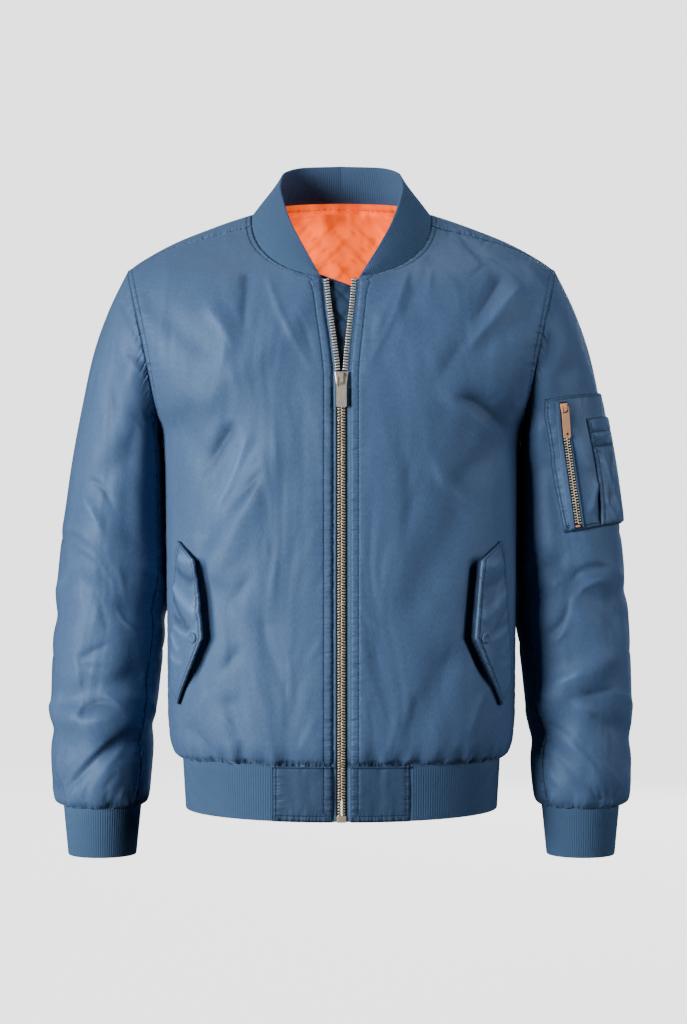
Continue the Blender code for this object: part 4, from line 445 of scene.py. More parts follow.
def body_point(u, t, side=1):
    """Points of the left half of the body: u from the centre to the side, t counted in body rows."""
    u, t = np.broadcast_arrays(np.asarray(u, float), np.asarray(t, float))
    neck, arm = between(BODY_ROWS, "neck", t), between(BODY_ROWS, "arm", t)
    mid_y, mid_z = between(BODY_ROWS, "mid_y", t), between(BODY_ROWS, "mid_z", t)
    share = np.clip((neck - FRONT_END) / -FRONT_END, 0, 1)
    on_neck = neck_point(neck + (neck_end(side) - FRONT_END) * (1 - share))
    on_edge = pack(front_edge(mid_z, side), mid_y, mid_z)
    in_front = ((neck <= FRONT_END + 0.01) & (t <= AT["front neck"] - 0.001))[..., None]
    behind = (neck >= 89.99)[..., None]
    inner = np.where(in_front, on_edge, np.where(behind, pack(0 * t, mid_y, mid_z), on_neck))
    on_arm = (np.abs(arm) < 179.99)[..., None]
    outer = np.where(on_arm, armhole_point(arm), side_point(between(BODY_ROWS, "side_z", t)))
    chord = np.linalg.norm(outer - inner, axis=-1)[..., None]
    value = lambda field: between(BODY_ROWS, field, t)
    start = inner + heading(value("in_yaw"), value("in_dip")) * chord * value("in_pull")[..., None]
    end = outer - heading(value("out_yaw"), value("out_dip")) * chord * value("out_pull")[..., None]
    f, s = u[..., None], 1 - u[..., None]
    return inner * s**3 + start * (3 * s * s * f) + end * (3 * s * f * f) + outer * f**3


def sleeve_point(angle, t):
    """Points of the left sleeve: angle 0 outside, 90 front, 180 inside, 270 back; t counted in rings."""
    angle, t = np.broadcast_arrays(np.asarray(angle, float), np.asarray(t, float))
    value = lambda field: between(SLEEVE_RINGS, field, t)
    outer = pack(value("out_x"), value("mid_y"), value("out_z"))
    inner = pack(value("in_x"), value("mid_y"), value("in_z"))
    c, s = np.cos(np.radians(angle)), np.sin(np.radians(angle))
    scoop = np.where(s > 0, ARM_SCOOP_FRONT, ARM_SCOOP_BACK) * s * s * np.maximum(1 - t, 0)
    middle, reach = (outer + inner) / 2, (outer - inner) / 2
    return middle + reach * c[..., None] - pack(scoop, value("half_y") * s, 0 * s)


def collar_base(angle, side):
    share = np.clip(angle / FRONT_END, 0, 1)
    return neck_point(angle + (neck_end(side) - FRONT_END) * share)


def collar_top(angle, side):
    x, y, z = (monotone(column(COLLAR, "neck"), column(COLLAR, field), angle) for field in "xyz")
    share = np.clip(angle / FRONT_END, 0, 1)
    return pack(x + (OPEN_EDGE[side] - OPEN_EDGE[1]) * share**3, y, z)


def turned(points, side):
    return points * np.array((side, 1, 1))


def normals_of(points, centre):
    """Outward normals of a grid of points."""
    normals = unit(np.cross(np.gradient(points, axis=1), np.gradient(points, axis=0)))
    inside = np.sum(normals * (points - centre)) < 0
    return -normals if inside else normals


# ---- Folds, creases, gathers and puckers ---------------------------------------------------------
def view_of(points, normals, view):
    """Flat coordinates on one view of a piece, and how much of the surface faces it."""
    if view == "outside":
        return points[..., 1], points[..., 2], np.abs(normals[..., 0])
    return points[..., 0], points[..., 2], normals[..., 1] * (1 if view == "back" else -1)


def fold_push(piece, points, normals):
    push = np.zeros(points.shape[:-1])
    for (owner, view), rows in FOLDS.items():
        a, b, facing = view_of(points, normals, view)
        for row in rows if owner == piece else ():
            a0, b0, a1, b1, width, depth = (value * MM for value in row)
            run = np.array((a1 - a0, b1 - b0))
            share = np.clip(((a - a0) * run[0] + (b - b0) * run[1]) / (run @ run), 0, 1)
            away = np.hypot(a - a0 - run[0] * share, b - b0 - run[1] * share)
            push += depth * bell(away / width) * smooth_step(facing / 0.4) * (facing > 0.05)
    return push


def crease_push(piece, points, normals):
    push = np.zeros(points.shape[:-1])
    for (owner, view), rows in CREASES.items():
        a, b, facing = view_of(points, normals, view)
        for *row, rise in rows if owner == piece else ():
            a0, b0, a1, b1, bend, width, depth = (value * MM for value in row)
            length = np.hypot(a1 - a0, b1 - b0)
            ahead = np.array((a1 - a0, b1 - b0)) / length
            share = ((a - a0) * ahead[0] + (b - b0) * ahead[1]) / length
            inside = np.clip(share, 0, 1)
            across = (a - a0) * ahead[1] - (b - b0) * ahead[0] - bend * 4 * inside * (1 - inside)
            beyond = np.maximum(np.maximum(-share, share - 1), 0) * length
            away = np.hypot(across, beyond) / width
            body = np.exp(-np.abs(away) ** 1.35) - 0.30 * bell(away / 2.4)
            taper = smooth_step(share / max(rise, 0.02)) * smooth_step((1 - share) / 0.55)
            push += depth * body * taper * smooth_step((facing - 0.10) / 0.50)
    return push


def gather_push(share, count, height, seam_z, depth):
    fade = smooth_step(1 - (height - seam_z) / GATHER_REACH) * smooth_step((height - seam_z) / 0.006)
    return depth * fade * np.sin(2 * pi * count * share)


Puckers = namedtuple("Puckers", "pitch width reach depth seed")


def pucker_push(along, away, kind):
    """Short uneven creases that start at a seam: along is the place on it, away the distance from it."""
    rng = np.random.default_rng(kind.seed)
    push = np.zeros(np.broadcast(along, away).shape)
    place = float(along.min()) + kind.pitch * rng.random()
    while place < along.max():
        width = kind.width * rng.uniform(0.7, 1.4)
        reach = kind.reach * rng.uniform(0.45, 1.5)
        slant = rng.uniform(-0.25, 0.25)
        depth = kind.depth * rng.uniform(0.25, 1.25)
        push -= depth * bell((along - place - slant * away) / width) * np.exp(-(away / reach) ** 1.5)
        place += kind.pitch * rng.uniform(0.6, 1.6)
    return push


def seam_roll(away, depth=0.0009, width=0.0016):
    """A sewn edge turns down into its seam."""
    return -depth * bell(away / width)


def stitch_groove(away, place, depth=0.00045):
    return -depth * bell((away - place) / 0.0013)


# ---- Making pieces -------------------------------------------------------------------------------
SKINS = {}         # search trees of the panels before their creases, which what lies on them is laid on
EDGES = {}         # finished panels: points and normals, for their stitching
Part = namedtuple("Part", "points normals push creases seams", defaults=((),))
PLAIN_SEAM = 1.0   # stitch distance of a seam without topstitching


def nearest_seam(part):
    """For each point: place along its nearest seam, distance from it and where its topstitching lies."""
    best = np.zeros(part.points.shape)
    best[..., 1] = 1.0
    for along, away, stitch in part.seams:
        here = np.stack(np.broadcast_arrays(along, away, stitch), axis=-1).astype(float)
        here = np.broadcast_to(here, best.shape)
        best = np.where((here[..., 1] < best[..., 1])[..., None], here, best)
    return best


def grid_into(bm, points):
    """A grid moved onto the points, with its UVs in metres along its rows and columns."""
    rows, columns = points.shape[:2]
    uv = bm.loops.layers.uv.verify()
    first = len(bm.verts)
    bmesh.ops.create_grid(bm, x_segments=columns - 1, y_segments=rows - 1, size=0.5)
    bm.verts.ensure_lookup_table()
    bm.verts.index_update()
    across = lengths_along(points)
    across = across - across[:, columns // 2][:, None]
    down = lengths_down(points)
    flat = np.stack([across, down], axis=-1).reshape(-1, 2)
    verts = bm.verts[first:]
    for vert, spot in zip(verts, points.reshape(-1, 3)):
        vert.co = spot
    for vert, place in zip(verts, flat):
        for loop in vert.link_loops:
            loop[uv].uv = place
    return verts


def face_out(bm, vert, normal):
    """All faces turned one way, so that the one at the vertex looks along the normal."""
    bmesh.ops.recalc_face_normals(bm, faces=bm.faces)
    if vert.link_faces[0].normal.dot(Vector(normal)) < 0:
        bmesh.ops.reverse_faces(bm, faces=bm.faces[:])


def finish(name, bm, look, replaces=(), body="garment", thickness=0.0, sharp=0.0, outward=True):
    """Turn a bmesh into a finished piece that rides on its body."""
    if outward:
        bmesh.ops.recalc_face_normals(bm, faces=bm.faces)
    mesh = bpy.data.meshes.new(name)
    bm.to_mesh(mesh)
    bm.free()
    mesh.shade_smooth()
    if sharp:
        mesh.set_sharp_from_angle(angle=radians(sharp))
    mesh.materials.append(look)
    obj = bpy.data.objects.new(name, mesh)
    bpy.context.scene.collection.objects.link(obj)
    if thickness:
        solid = obj.modifiers.new("cloth thickness", "SOLIDIFY")
        solid.thickness = thickness
        solid.offset = -1.0
    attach(obj, body)
    if replaces:
        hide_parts(*replaces)
    return obj


def area_of(points):
    a, b, c, d = points[:-1, :-1], points[:-1, 1:], points[1:, 1:], points[1:, :-1]
    return float(np.sum(np.linalg.norm(np.cross(c - a, d - b), axis=-1)) / 2)


def flat_size(parts):
    """Width, length and area of the cut cloth of a piece: its form before any fold."""
    width = sum(lengths_along(part.points)[:, -1].max() for part in parts)
    length = max(lengths_down(part.points)[-1].max() for part in parts)
    area = sum(area_of(part.points) for part in parts)
    return (float(width), float(length)), min(area, float(width * length))


def cloth(name, parts, look, thickness=CLOTH, weld=0.0, replaces=None):
    """A cut piece of cloth: its form, its soft folds and its creases, as a thin shell."""
    bm = bmesh.new()
    sheets = [grid_into(bm, part.points + part.normals * part.push[..., None]) for part in parts]
    middle = tuple(n // 2 for n in parts[0].points.shape[:2])
    seed = sheets[0][middle[0] * parts[0].points.shape[1] + middle[1]]
    face_out(bm, seed, parts[0].normals[middle])
    SKINS[name] = BVHTree.FromBMesh(bm)
    EDGES[name] = []
    seam_layer = bm.verts.layers.float_vector.new("seam")
    relief_layer = bm.verts.layers.float.new("relief")
    sheets = [bm.verts[start:start + part.points[..., 0].size] for start, part in zip(
        np.cumsum([0] + [part.points[..., 0].size for part in parts]), parts)]
    for part, verts in zip(parts, sheets):
        relief = np.broadcast_to(part.creases, part.points.shape[:-1]).reshape(-1)
        for vert, place, rise in zip(verts, nearest_seam(part).reshape(-1, 3), relief):
            vert[seam_layer] = Vector(place)
            vert[relief_layer] = float(rise)
        final = part.points + part.normals * (part.push + part.creases)[..., None]
        EDGES[name].append((final, part.normals))
        for vert, spot in zip(verts, final.reshape(-1, 3)):
            vert.co = spot
    if weld:
        bmesh.ops.remove_doubles(bm, verts=bm.verts, dist=weld)
    made = finish(f"{name}_cloth", bm, look, replaces or (name,), thickness=thickness, outward=False)
    flat, area = flat_size(parts)
    return made


def patch(points, normals, creases=0.0, seams=()):
    """A part without soft folds."""
    still = np.zeros(points.shape[:-1])
    return Part(points, normals, still, still + creases, seams)


# ---- Stitching -----------------------------------------------------------------------------------
STITCH = 0.0026
STITCH_GAP = 0.0007
STITCH_WIDE = 0.00035


def seam_line(name, part, distance, from_end=False, along_rows=True, start=0, stop=None):
    """A line on a finished panel, at one distance from an edge: its points and normals."""
    points, normals = EDGES[name][part]
    if not along_rows:
        points, normals = points.transpose(1, 0, 2), normals.transpose(1, 0, 2)
    gone = lengths_along(points)
    line, facing = [], []
    for row, place in zip(range(len(points)), np.broadcast_to(distance, len(points))):
        place = gone[row, -1] - place if from_end else place
        line.append([np.interp(place, gone[row], points[row, :, k]) for k in range(3)])
        facing.append([np.interp(place, gone[row], normals[row, :, k]) for k in range(3)])
    return np.array(line)[start:stop], np.array(facing)[start:stop]


def sew(bm, line, facing, lift=0.00005, length=STITCH, gap=STITCH_GAP, wide=STITCH_WIDE):
    """Stitches along a line: small pads, each turned along it."""
    total = lengths_along(line)[-1]
    count = max(int(total / (length + gap)), 1)
    middles = (np.arange(count) + 0.5) * total / count
    spots, ahead, behind = (along_line(line, np.clip(middles + step, 0, total))
                            for step in (0, 0.0008, -0.0008))
    gone = lengths_along(line)
    normals = unit(np.stack([np.interp(middles, gone, facing[:, k]) for k in range(3)], axis=-1))
    runs = unit(ahead - behind)
    for spot, run, normal in zip(spots, runs, normals):
        side = np.cross(normal, run)
        turn = Matrix((run, side, normal)).transposed().to_4x4()
        size = Matrix.Diagonal((length / 2, wide, wide, 1.0))
        place = Matrix.Translation(Vector(spot + normal * lift))
        bmesh.ops.create_uvsphere(bm, u_segments=6, v_segments=4, radius=1.0, matrix=place @ turn @ size)


def thread(name, lines, look, slot="satin"):
    """One piece with the stitches of several lines."""
    bm = bmesh.new()
    for line, facing in lines:
        sew(bm, line, facing)
    return finish(name, bm, look)


# ---- Panels --------------------------------------------------------------------------------------
STEP = 0.0029
BACK_STEP = 0.0034
FRONT_STEP = 0.0024
NECK_PUCKERS = Puckers(0.0075, 0.0018, 0.011, 0.0006, 11)
ARM_PUCKERS = Puckers(0.0090, 0.0022, 0.012, 0.0008, 23)
FRONT_PUCKERS = Puckers(0.0085, 0.0022, 0.014, 0.0004, 37)
SEAM_PUCKERS = Puckers(0.0110, 0.0026, 0.014, 0.0010, 41)
HEM_PUCKERS = Puckers(0.0120, 0.0034, 0.020, 0.0007, 53)
CUFF_PUCKERS = Puckers(0.0115, 0.0030, 0.020, 0.0012, 67)
FRONT_STITCH, NECK_STITCH, ARM_STITCH = 0.0088, 0.0060, 0.0058
PANEL_WIDTH = 0.21      # across one half of the body
ARM_JOIN = 0.002        # body and sleeve meet without creases along the armhole


def even_rows(first, last, step, share=0.6):
    """Row positions from one body row to another, even along the cloth."""
    dense = np.linspace(AT[first], AT[last], 500)
    gone = lengths_along(body_point(share, dense))
    return np.interp(spread(gone[-1], step), gone, dense)


def even_columns(point_at, rows, shares):
    """Across each row: parameters at even shares of its length, with the row's length."""
    dense = np.linspace(0, 1, 201)
    gone = lengths_along(point_at(dense[None, :], rows[:, None]))
    return np.stack([np.interp(shares * row[-1], row, dense) for row in gone]), gone[:, -1]


def body_panel(first, last, side, step, extra=()):
    rows = even_rows(first, last, step)
    shares = spread(PANEL_WIDTH, step, extra) / PANEL_WIDTH
    u, length = even_columns(lambda a, b: body_point(a, b, side), rows, shares)
    points = body_point(u, rows[:, None], side)
    points = eased(points, rows[:, None], u, ("front neck", "underarm", "back neck", "back underarm"))
    normals = normals_of(points, pack(0.0, 0.0, points[..., 2] - 0.04))
    centre = rows >= AT["back neck"] + 0.001
    normals[centre, 0, 0] = 0.0
    return turned(points, side), turned(unit(normals), side), rows[:, None], u, shares * length[:, None], \
        (1 - shares) * length[:, None]


def eased(points, rows, u, marks, reach=0.85):
    """Evens out the bends of a panel at the rows named, away from its edges."""
    points = points.copy()
    near = sum(np.exp(-((rows - AT[mark]) / reach) ** 2) for mark in marks)
    weight = (np.clip(near, 0, 1) * smooth_step(u / 0.10) * smooth_step((1 - u) / 0.14))[1:-1, :, None]
    for _ in range(160):
        points[1:-1] += 0.5 * weight * ((points[:-2] + points[2:]) / 2 - points[1:-1])
    return points


def ends(points):
    """Distance of each point from the first row and from the last one, along its column."""
    down = lengths_down(points)
    return down, down[-1] - down


def make_front(side, word, satin):
    name = f"front_{word}"
    points, normals, rows, u, to_edge, to_arm = body_panel("hem seam", "shoulder seam", side, FRONT_STEP,
                                                             (FRONT_STITCH,))
    fade = smooth_step((1 - u) / 0.12) * smooth_step((u - 0.02) / 0.10)
    push = fold_push(name, points, normals) + gather_push(u, HEM_GATHERS, points[..., 2], HEM_SEAM,
                                                          HEM_GATHER_DEPTH)
    low, high = ends(points)
    edge_place, arm_place = lengths_along(points[:, 0])[:, None], lengths_along(points[:, -1])[:, None]
    on_edge = rows <= AT["front neck"]
    creases = crease_push(name, points, normals) * smooth_step(to_edge / 0.012)
    creases += np.where(on_edge, pucker_push(edge_place, to_edge, FRONT_PUCKERS),
                        pucker_push(edge_place, to_edge, NECK_PUCKERS))
    creases += pucker_push(arm_place, to_arm, ARM_PUCKERS) + pucker_push(to_edge, low, HEM_PUCKERS)
    creases += mouth_push(side, points)
    creases += pucker_push(to_edge, high, SEAM_PUCKERS) * 0.5
    creases += seam_roll(to_edge) * np.where(on_edge, 1.0, 0.3) + seam_roll(to_arm) * 0.4
    creases += seam_roll(low) + seam_roll(high) * 0.5
    creases += stitch_groove(to_edge, np.where(on_edge, FRONT_STITCH, NECK_STITCH))
    creases += stitch_groove(to_arm, ARM_STITCH) * (rows > AT["tuck"] + 1) * (rows < AT["yoke"])
    seams = ((edge_place, to_edge, np.where(on_edge, FRONT_STITCH, NECK_STITCH)),
             (arm_place, to_arm, np.where(rows > AT["underarm"], ARM_STITCH, PLAIN_SEAM)),
             (to_edge, low, PLAIN_SEAM))
    creases = creases * smooth_step(to_arm / ARM_JOIN)
    return cloth(name, [Part(points, normals, push * fade, creases, seams)], satin)


def make_back(satin):
    parts = []
    for side in (1, -1):
        points, normals, rows, u, to_centre, to_arm = body_panel("shoulder seam", "back hem seam", side,
                                                                   BACK_STEP)
        behind = rows >= AT["back neck"]
        fade = smooth_step((1 - u) / 0.12)
        gathers = gather_push(u, HEM_GATHERS, points[..., 2], HEM_SEAM, HEM_GATHER_DEPTH)
        push = (fold_push("back", points, normals) + np.where(behind, gathers, 0)) * fade
        high, low = ends(points)
        arm_place, neck_place = lengths_along(points[:, -1])[:, None], lengths_along(points[:, 0])[:, None]
        at_neck = pucker_push(neck_place, to_centre, NECK_PUCKERS) + seam_roll(to_centre) * 0.3 \
            + stitch_groove(to_centre, NECK_STITCH)
        below = smooth_step((rows - AT["back neck"]) / 0.35)
        creases = crease_push("back", points, normals) + at_neck * (1 - below)
        creases += pucker_push(arm_place, to_arm, ARM_PUCKERS)
        creases += stitch_groove(to_arm, ARM_STITCH) * (rows < AT["back underarm"] + 0.5)
        creases += pucker_push(to_centre * side + PANEL_WIDTH, low, HEM_PUCKERS)
        creases += seam_roll(to_arm) * 0.4 + seam_roll(low) + seam_roll(high) * 0.5
        seams = ((neck_place, to_centre + 9.0 * (rows > AT["back neck"]), NECK_STITCH),
                 (arm_place, to_arm, np.where(rows < AT["back underarm"], ARM_STITCH, PLAIN_SEAM)),
                 (to_centre, low, PLAIN_SEAM), (to_centre, high, PLAIN_SEAM))
        creases = creases * smooth_step(to_arm / ARM_JOIN)
        parts.append(Part(points, normals, push, creases, seams))
    return cloth("back", parts, satin, weld=WELD)


def sleeve_grid(side, first, last):
    """Points of a sleeve panel between two angles, its normals and its distances from both long seams."""
    dense = np.linspace(0, len(SLEEVE_RINGS) - 1, 600)
    gone = lengths_along(sleeve_point((first + last) / 2, dense))
    rows = np.interp(spread(gone[-1], STEP), gone, dense)
    width = lengths_along(sleeve_point(np.linspace(first, last, 200), 4.0))[-1]
    shares = spread(width, STEP) / width
    point_at = lambda a, b: sleeve_point(first + (last - first) * a, b)
    u, length = even_columns(point_at, rows, shares)
    points = point_at(u, rows[:, None])
    centre = (sleeve_point(0.0, rows) + sleeve_point(180.0, rows)) / 2
    normals = normals_of(points, centre[:, None, :])
    return turned(points, side), turned(normals, side), rows[:, None], first + (last - first) * u, \
        shares * length[:, None], (1 - shares) * length[:, None]


SLEEVE_LEAN = 0.0032     # how much a sleeve fills out against the body


def make_sleeve(side, word, upper, satin):
    first, last = (-SLEEVE_SEAM, SLEEVE_SEAM) if upper else (SLEEVE_SEAM, 360 - SLEEVE_SEAM)
    name = f"sleeve_{'upper' if upper else 'under'}_{word}"
    points, normals, rows, angle, to_back, to_front = sleeve_grid(side, first, last)
    whole = f"sleeve_{word}"
    fade = smooth_step(rows) * smooth_step(len(SLEEVE_RINGS) - 1 - rows)
    push = fold_push(whole, points, normals) * fade
    seam_z = SLEEVE_RINGS[-1].out_z
    push = push + gather_push(angle / 360, CUFF_GATHERS, points[..., 2], seam_z, CUFF_GATHER_DEPTH)
    height = points[..., 2]
    push = push + SLEEVE_LEAN * smooth_step((-normals[..., 0] * side - 0.30) / 0.4) \
        * smooth_step((-0.215 - height) / 0.025) * smooth_step((height + 0.475) / 0.05)
    high, low = ends(points)
    cap_place, cuff_place = lengths_along(points[:1]), lengths_along(points[-1:])
    down = lengths_along(points[:, 0])[:, None]
    creases = crease_push(whole, points, normals)
    creases += pucker_push(cap_place, high, ARM_PUCKERS._replace(seed=29)) * 0.6
    creases += pucker_push(cuff_place, low, CUFF_PUCKERS)
    for away, seed in ((to_back, 71), (to_front, 73)):
        creases += pucker_push(down, away, SEAM_PUCKERS._replace(seed=seed)) * 0.7
        creases += seam_roll(away) * 0.5
    creases += seam_roll(high) * 0.4 + seam_roll(low)
    seams = ((cap_place, high, PLAIN_SEAM), (cuff_place, low, PLAIN_SEAM), (down, to_back, PLAIN_SEAM),
             (down + 5.0, to_front, PLAIN_SEAM))
    creases = creases * smooth_step(high / ARM_JOIN)
    return cloth(name, [Part(points, normals, push, creases, seams)], satin)


# ---- Knit bands ----------------------------------------------------------------------------------
RIB_PITCH = 0.0027
RIB_DEPTH = 0.0006
BAND_LEVELS = 9


def knit_band(name, seam, edge, facing, look, closed, bulge=0.0, tuck=0.0, blunt=0.0):
    """A folded band from its seam line to its free edge: outside, rolled edge and inside in one sheet."""
    length = lengths_along(seam)[-1]
    rib_count = round(length / RIB_PITCH)
    count = rib_count * 4 + 1
    gone = lengths_along(seam)
    seam, edge = resample(seam, count), resample(edge, count)
    facing = unit(np.stack([np.interp(lengths_along(seam), gone, facing[:, k]) for k in range(3)], axis=-1))
    up = unit(edge - seam)
    half = np.full(count, RIB_WALL / 2)
    if not closed:
        place = np.linspace(0, length, count)
        away = np.minimum(place, length - place)
        rounded = 1 - (1 - np.clip(away / (RIB_WALL / 2), 0, 1)) ** 2
        half *= blunt + (1 - blunt) * np.sqrt(np.clip(rounded, 0.0, 1))
    height = np.linalg.norm(edge - seam, axis=-1) - half
    wave = (1 - np.cos(2 * pi * np.arange(count) / 4)) / 2 * RIB_DEPTH
    middle = seam - facing * RIB_WALL / 2
    profile = [middle - up * tuck + facing * (half * 0.4)[:, None]] if tuck else []
    levels = np.linspace(0, 1, BAND_LEVELS)
    for level in levels:
        out = half - wave + bulge * sin(pi * level)
        profile.append(middle + up * (height * level)[:, None] + facing * out[:, None])
    for turn in np.linspace(0, pi, 7)[1:-1]:
        r = half - wave * 0.6
        profile.append(middle + up * (height + r * sin(turn))[:, None] + facing * (r * cos(turn))[:, None])
    for level in levels[::-1]:
        out = -half + wave * 0.7 + bulge * sin(pi * level)
        profile.append(middle + up * (height * level)[:, None] + facing * out[:, None])
    points = np.stack(profile)
    bm = bmesh.new()
    verts = grid_into(bm, points)
    bmesh.ops.remove_doubles(bm, verts=bm.verts, dist=WELD)
    bm.verts.ensure_lookup_table()
    probe = max(bm.verts, key=lambda v: (v.co - Vector(points[5, count // 3])).length * -1)
    face_out(bm, probe, facing[count // 3])
    made = finish(f"{name}_knit", bm, look, (name,), outward=False)
    tall = float(lengths_down(points)[-1].max())
    return made, points, facing


def collar_line(edge):
    angles = np.linspace(90, FRONT_END, 260)
    left, right = edge(angles, 1), turned(edge(angles, -1), -1)
    return np.concatenate([left[::-1], right[1:]])


def make_collar(look):
    bottom, top = collar_line(collar_base), collar_line(collar_top)
    count = 400
    bottom, top = resample(bottom, count), resample(top, count)
    facing = unit(np.cross(np.gradient(bottom, axis=0), top - bottom))
    facing = facing * np.sign(np.sum(facing * (bottom * (1, 1, 0)), axis=-1))[:, None]
    start = bottom + unit(top - bottom) * COLLAR_GAP
    return knit_band("collar", start, top, facing, look, closed=False, bulge=COLLAR_BULGE, tuck=0.0022)


def make_cuff(side, word, look):
    ring = SLEEVE_RINGS[-1]
    angle = np.linspace(0, 2 * pi, 400)

    def circle(out_x, in_x, half_y, z):
        x = (out_x + in_x) / 2 + (out_x - in_x) / 2 * np.cos(angle)
        return pack(x, ring.mid_y - half_y * np.sin(angle), z)

    seam = circle(ring.out_x, ring.in_x, ring.half_y, ring.out_z - SEAM)
    edge = circle(CUFF_EDGE_OUT, CUFF_EDGE_IN, CUFF_EDGE_HALF_Y, CUFF_EDGE_Z)
    facing = unit((seam - seam[:-1].mean(axis=0)) * (1 / 0.043**2, 1 / ring.half_y**2, 0))
    return knit_band(f"cuff_{word}", turned(seam, side), turned(edge, side), turned(facing, side), look,
                     closed=True, tuck=0.0030)


def column_at(x_target, t, side):
    """Share of a body row at which it is a given distance from the middle line."""
    shares = np.linspace(0, 0.9, 400)
    return float(np.interp(x_target, body_point(shares, t, side)[:, 0], shares))


def hem_path(share):
    front_t = AT["hem seam"] + (AT["hem edge"] - AT["hem seam"]) * share
    back_t = AT["back hem seam"] + (AT["back hem edge"] - AT["back hem seam"]) * share
    halves = []
    for side in (1, -1):
        start = column_at(TAB_EDGE + SEAM, front_t, side)
        front = body_point(np.linspace(start, 1, 160), front_t, side)
        rear = body_point(np.linspace(1, 0, 160)[1:], back_t, side)
        halves.append(turned(np.concatenate([front, rear]), side))
    return np.concatenate([halves[0], halves[1][::-1][1:]])


def make_hem(look):
    seam, edge = resample(hem_path(0.0) - (0, 0, SEAM), 500), resample(hem_path(1.0), 500)
    along = np.gradient(seam, axis=0)
    facing = unit(np.cross(along, (0.0, 0.0, 1.0)))
    facing = facing * np.sign(np.sum(facing * (seam * (1, 1, 0)), axis=-1))[:, None]
    return knit_band("hem_rib", seam, edge, facing, look, closed=False, tuck=0.0035, blunt=0.6)


TAB_TALL, TAB_WIDE, TAB_STEP = 0.058, TAB_EDGE - CLOSED_EDGE, 0.0024
TAB_ZIP_STITCH, TAB_END_STITCH, TAB_LOW_STITCH = 0.0088, 0.0042, 0.0060


def make_tab(side, word, satin):
    """The woven end of the hem band beside the zip."""
    seam_t, edge_t = AT["hem seam"], AT["hem edge"]
    shares = spread(TAB_TALL, TAB_STEP, (TAB_LOW_STITCH,)) / TAB_TALL
    rows, place = [], spread(TAB_WIDE, TAB_STEP, (TAB_END_STITCH, TAB_ZIP_STITCH)) / TAB_WIDE
    for share in shares:
        t = seam_t + (edge_t - seam_t) * share
        rows.append(body_point(place * column_at(TAB_EDGE, t, side), t, side))
    points = np.stack(rows)
    points[0, :, 2] -= SEAM
    normals = normals_of(points, pack(0.0, 0.0, points[..., 2])) * (1, 1, 0)
    points, normals = turned(points, side), turned(unit(normals), side)
    push = np.broadcast_to(0.0012 * np.sin(pi * shares)[:, None], points.shape[:-1])
    top, low = ends(points)
    in_edge = lengths_along(points)
    out_edge = in_edge[:, -1:] - in_edge
    creases = seam_roll(top) + seam_roll(low, 0.0007) + seam_roll(in_edge, 0.0007) + seam_roll(out_edge)
    creases += pucker_push(top, out_edge, Puckers(0.0050, 0.0014, 0.005, 0.0004, 83))
    creases += pucker_push(in_edge, low, Puckers(0.0055, 0.0015, 0.005, 0.0004, 89))
    creases += pucker_push(in_edge, top, Puckers(0.0160, 0.0040, 0.018, 0.0007, 97))
    creases += stitch_groove(in_edge, TAB_ZIP_STITCH) + stitch_groove(out_edge, TAB_END_STITCH)
    creases += stitch_groove(low, TAB_LOW_STITCH)
    seams = ((top, out_edge, TAB_END_STITCH), (in_edge, low, TAB_LOW_STITCH), (top, in_edge, TAB_ZIP_STITCH))
    return cloth(f"hem_tab_{word}", [Part(points, normals, push, creases, seams)], satin,
                 thickness=0.0020)


# ---- Linings and wind flap -----------------------------------------------------------------------
def neck_facing(angle):
    """Outward direction of the collar at the neckline."""
    along = collar_base(np.minimum(angle + 2.0, 90.0), 1) - collar_base(angle - 2.0, 1)
    normal = unit(np.cross(along, collar_top(angle, 1) - collar_base(angle, 1)))
    normal = normal * np.sign(np.sum(normal * collar_base(angle, 1), axis=-1))[..., None]
    return np.where((angle > 89.0)[..., None], unit(normal * (0, 1, 1)), normal)


def lining_form(rows, shares, side):
    """Lining points behind the shell: close to it along the neck and deeper further down."""
    u, t = np.broadcast_arrays(shares[None, :], rows[:, None])
    points = body_point(u, t, side)
    normals = normals_of(points, pack(0.0, 0.0, points[..., 2] - 0.04))
    centre = rows >= AT["back neck"]
    normals[centre, 0, 0] = 0.0
    normals = unit(normals)
    neck = between(BODY_ROWS, "neck", t)
    away = np.where(neck > 89.0, np.clip((t - AT["back neck"]) / 3, 0, 1), 0.0)
    away = np.maximum(away, smooth_step(u / 0.35))
    points = points - normals * (LINING_EDGE_GAP + (LINING_GAP - LINING_EDGE_GAP) * away)[..., None]
    behind_collar = (1 - smooth_step(u / 0.06)) * (1 - smooth_step((t - AT["back neck"]) / 0.6)) \
        * (t > AT["shoulder seam"])
    points = points - neck_facing(neck) * (BAND_INSIDE * behind_collar)[..., None]
    return turned(points, side), turned(normals, side)


LINING_STEP = 0.0043
FRONT_LINING_STEP = 0.0062
GATHERS = Puckers(0.0066, 0.0019, 0.018, 0.0017, 101)
QUILT_PITCH, QUILT_DEPTH, QUILT_WIDE = 0.031, 0.0011, 0.0030
FLAP_QUILT = (0.0240, 0.0012, 0.0022)       # the wind flap's: pitch, depth, width


def quilted(across, down, pitch, depth, width):
    """Slanted lines of stitching that cross, each pressed into the padding."""
    push = 0.0
    for lean in (across + down, across - down):
        away = np.abs((lean / pitch + 0.5) % 1.0 - 0.5) * pitch
        push = push - depth * bell(away / width)
    return push


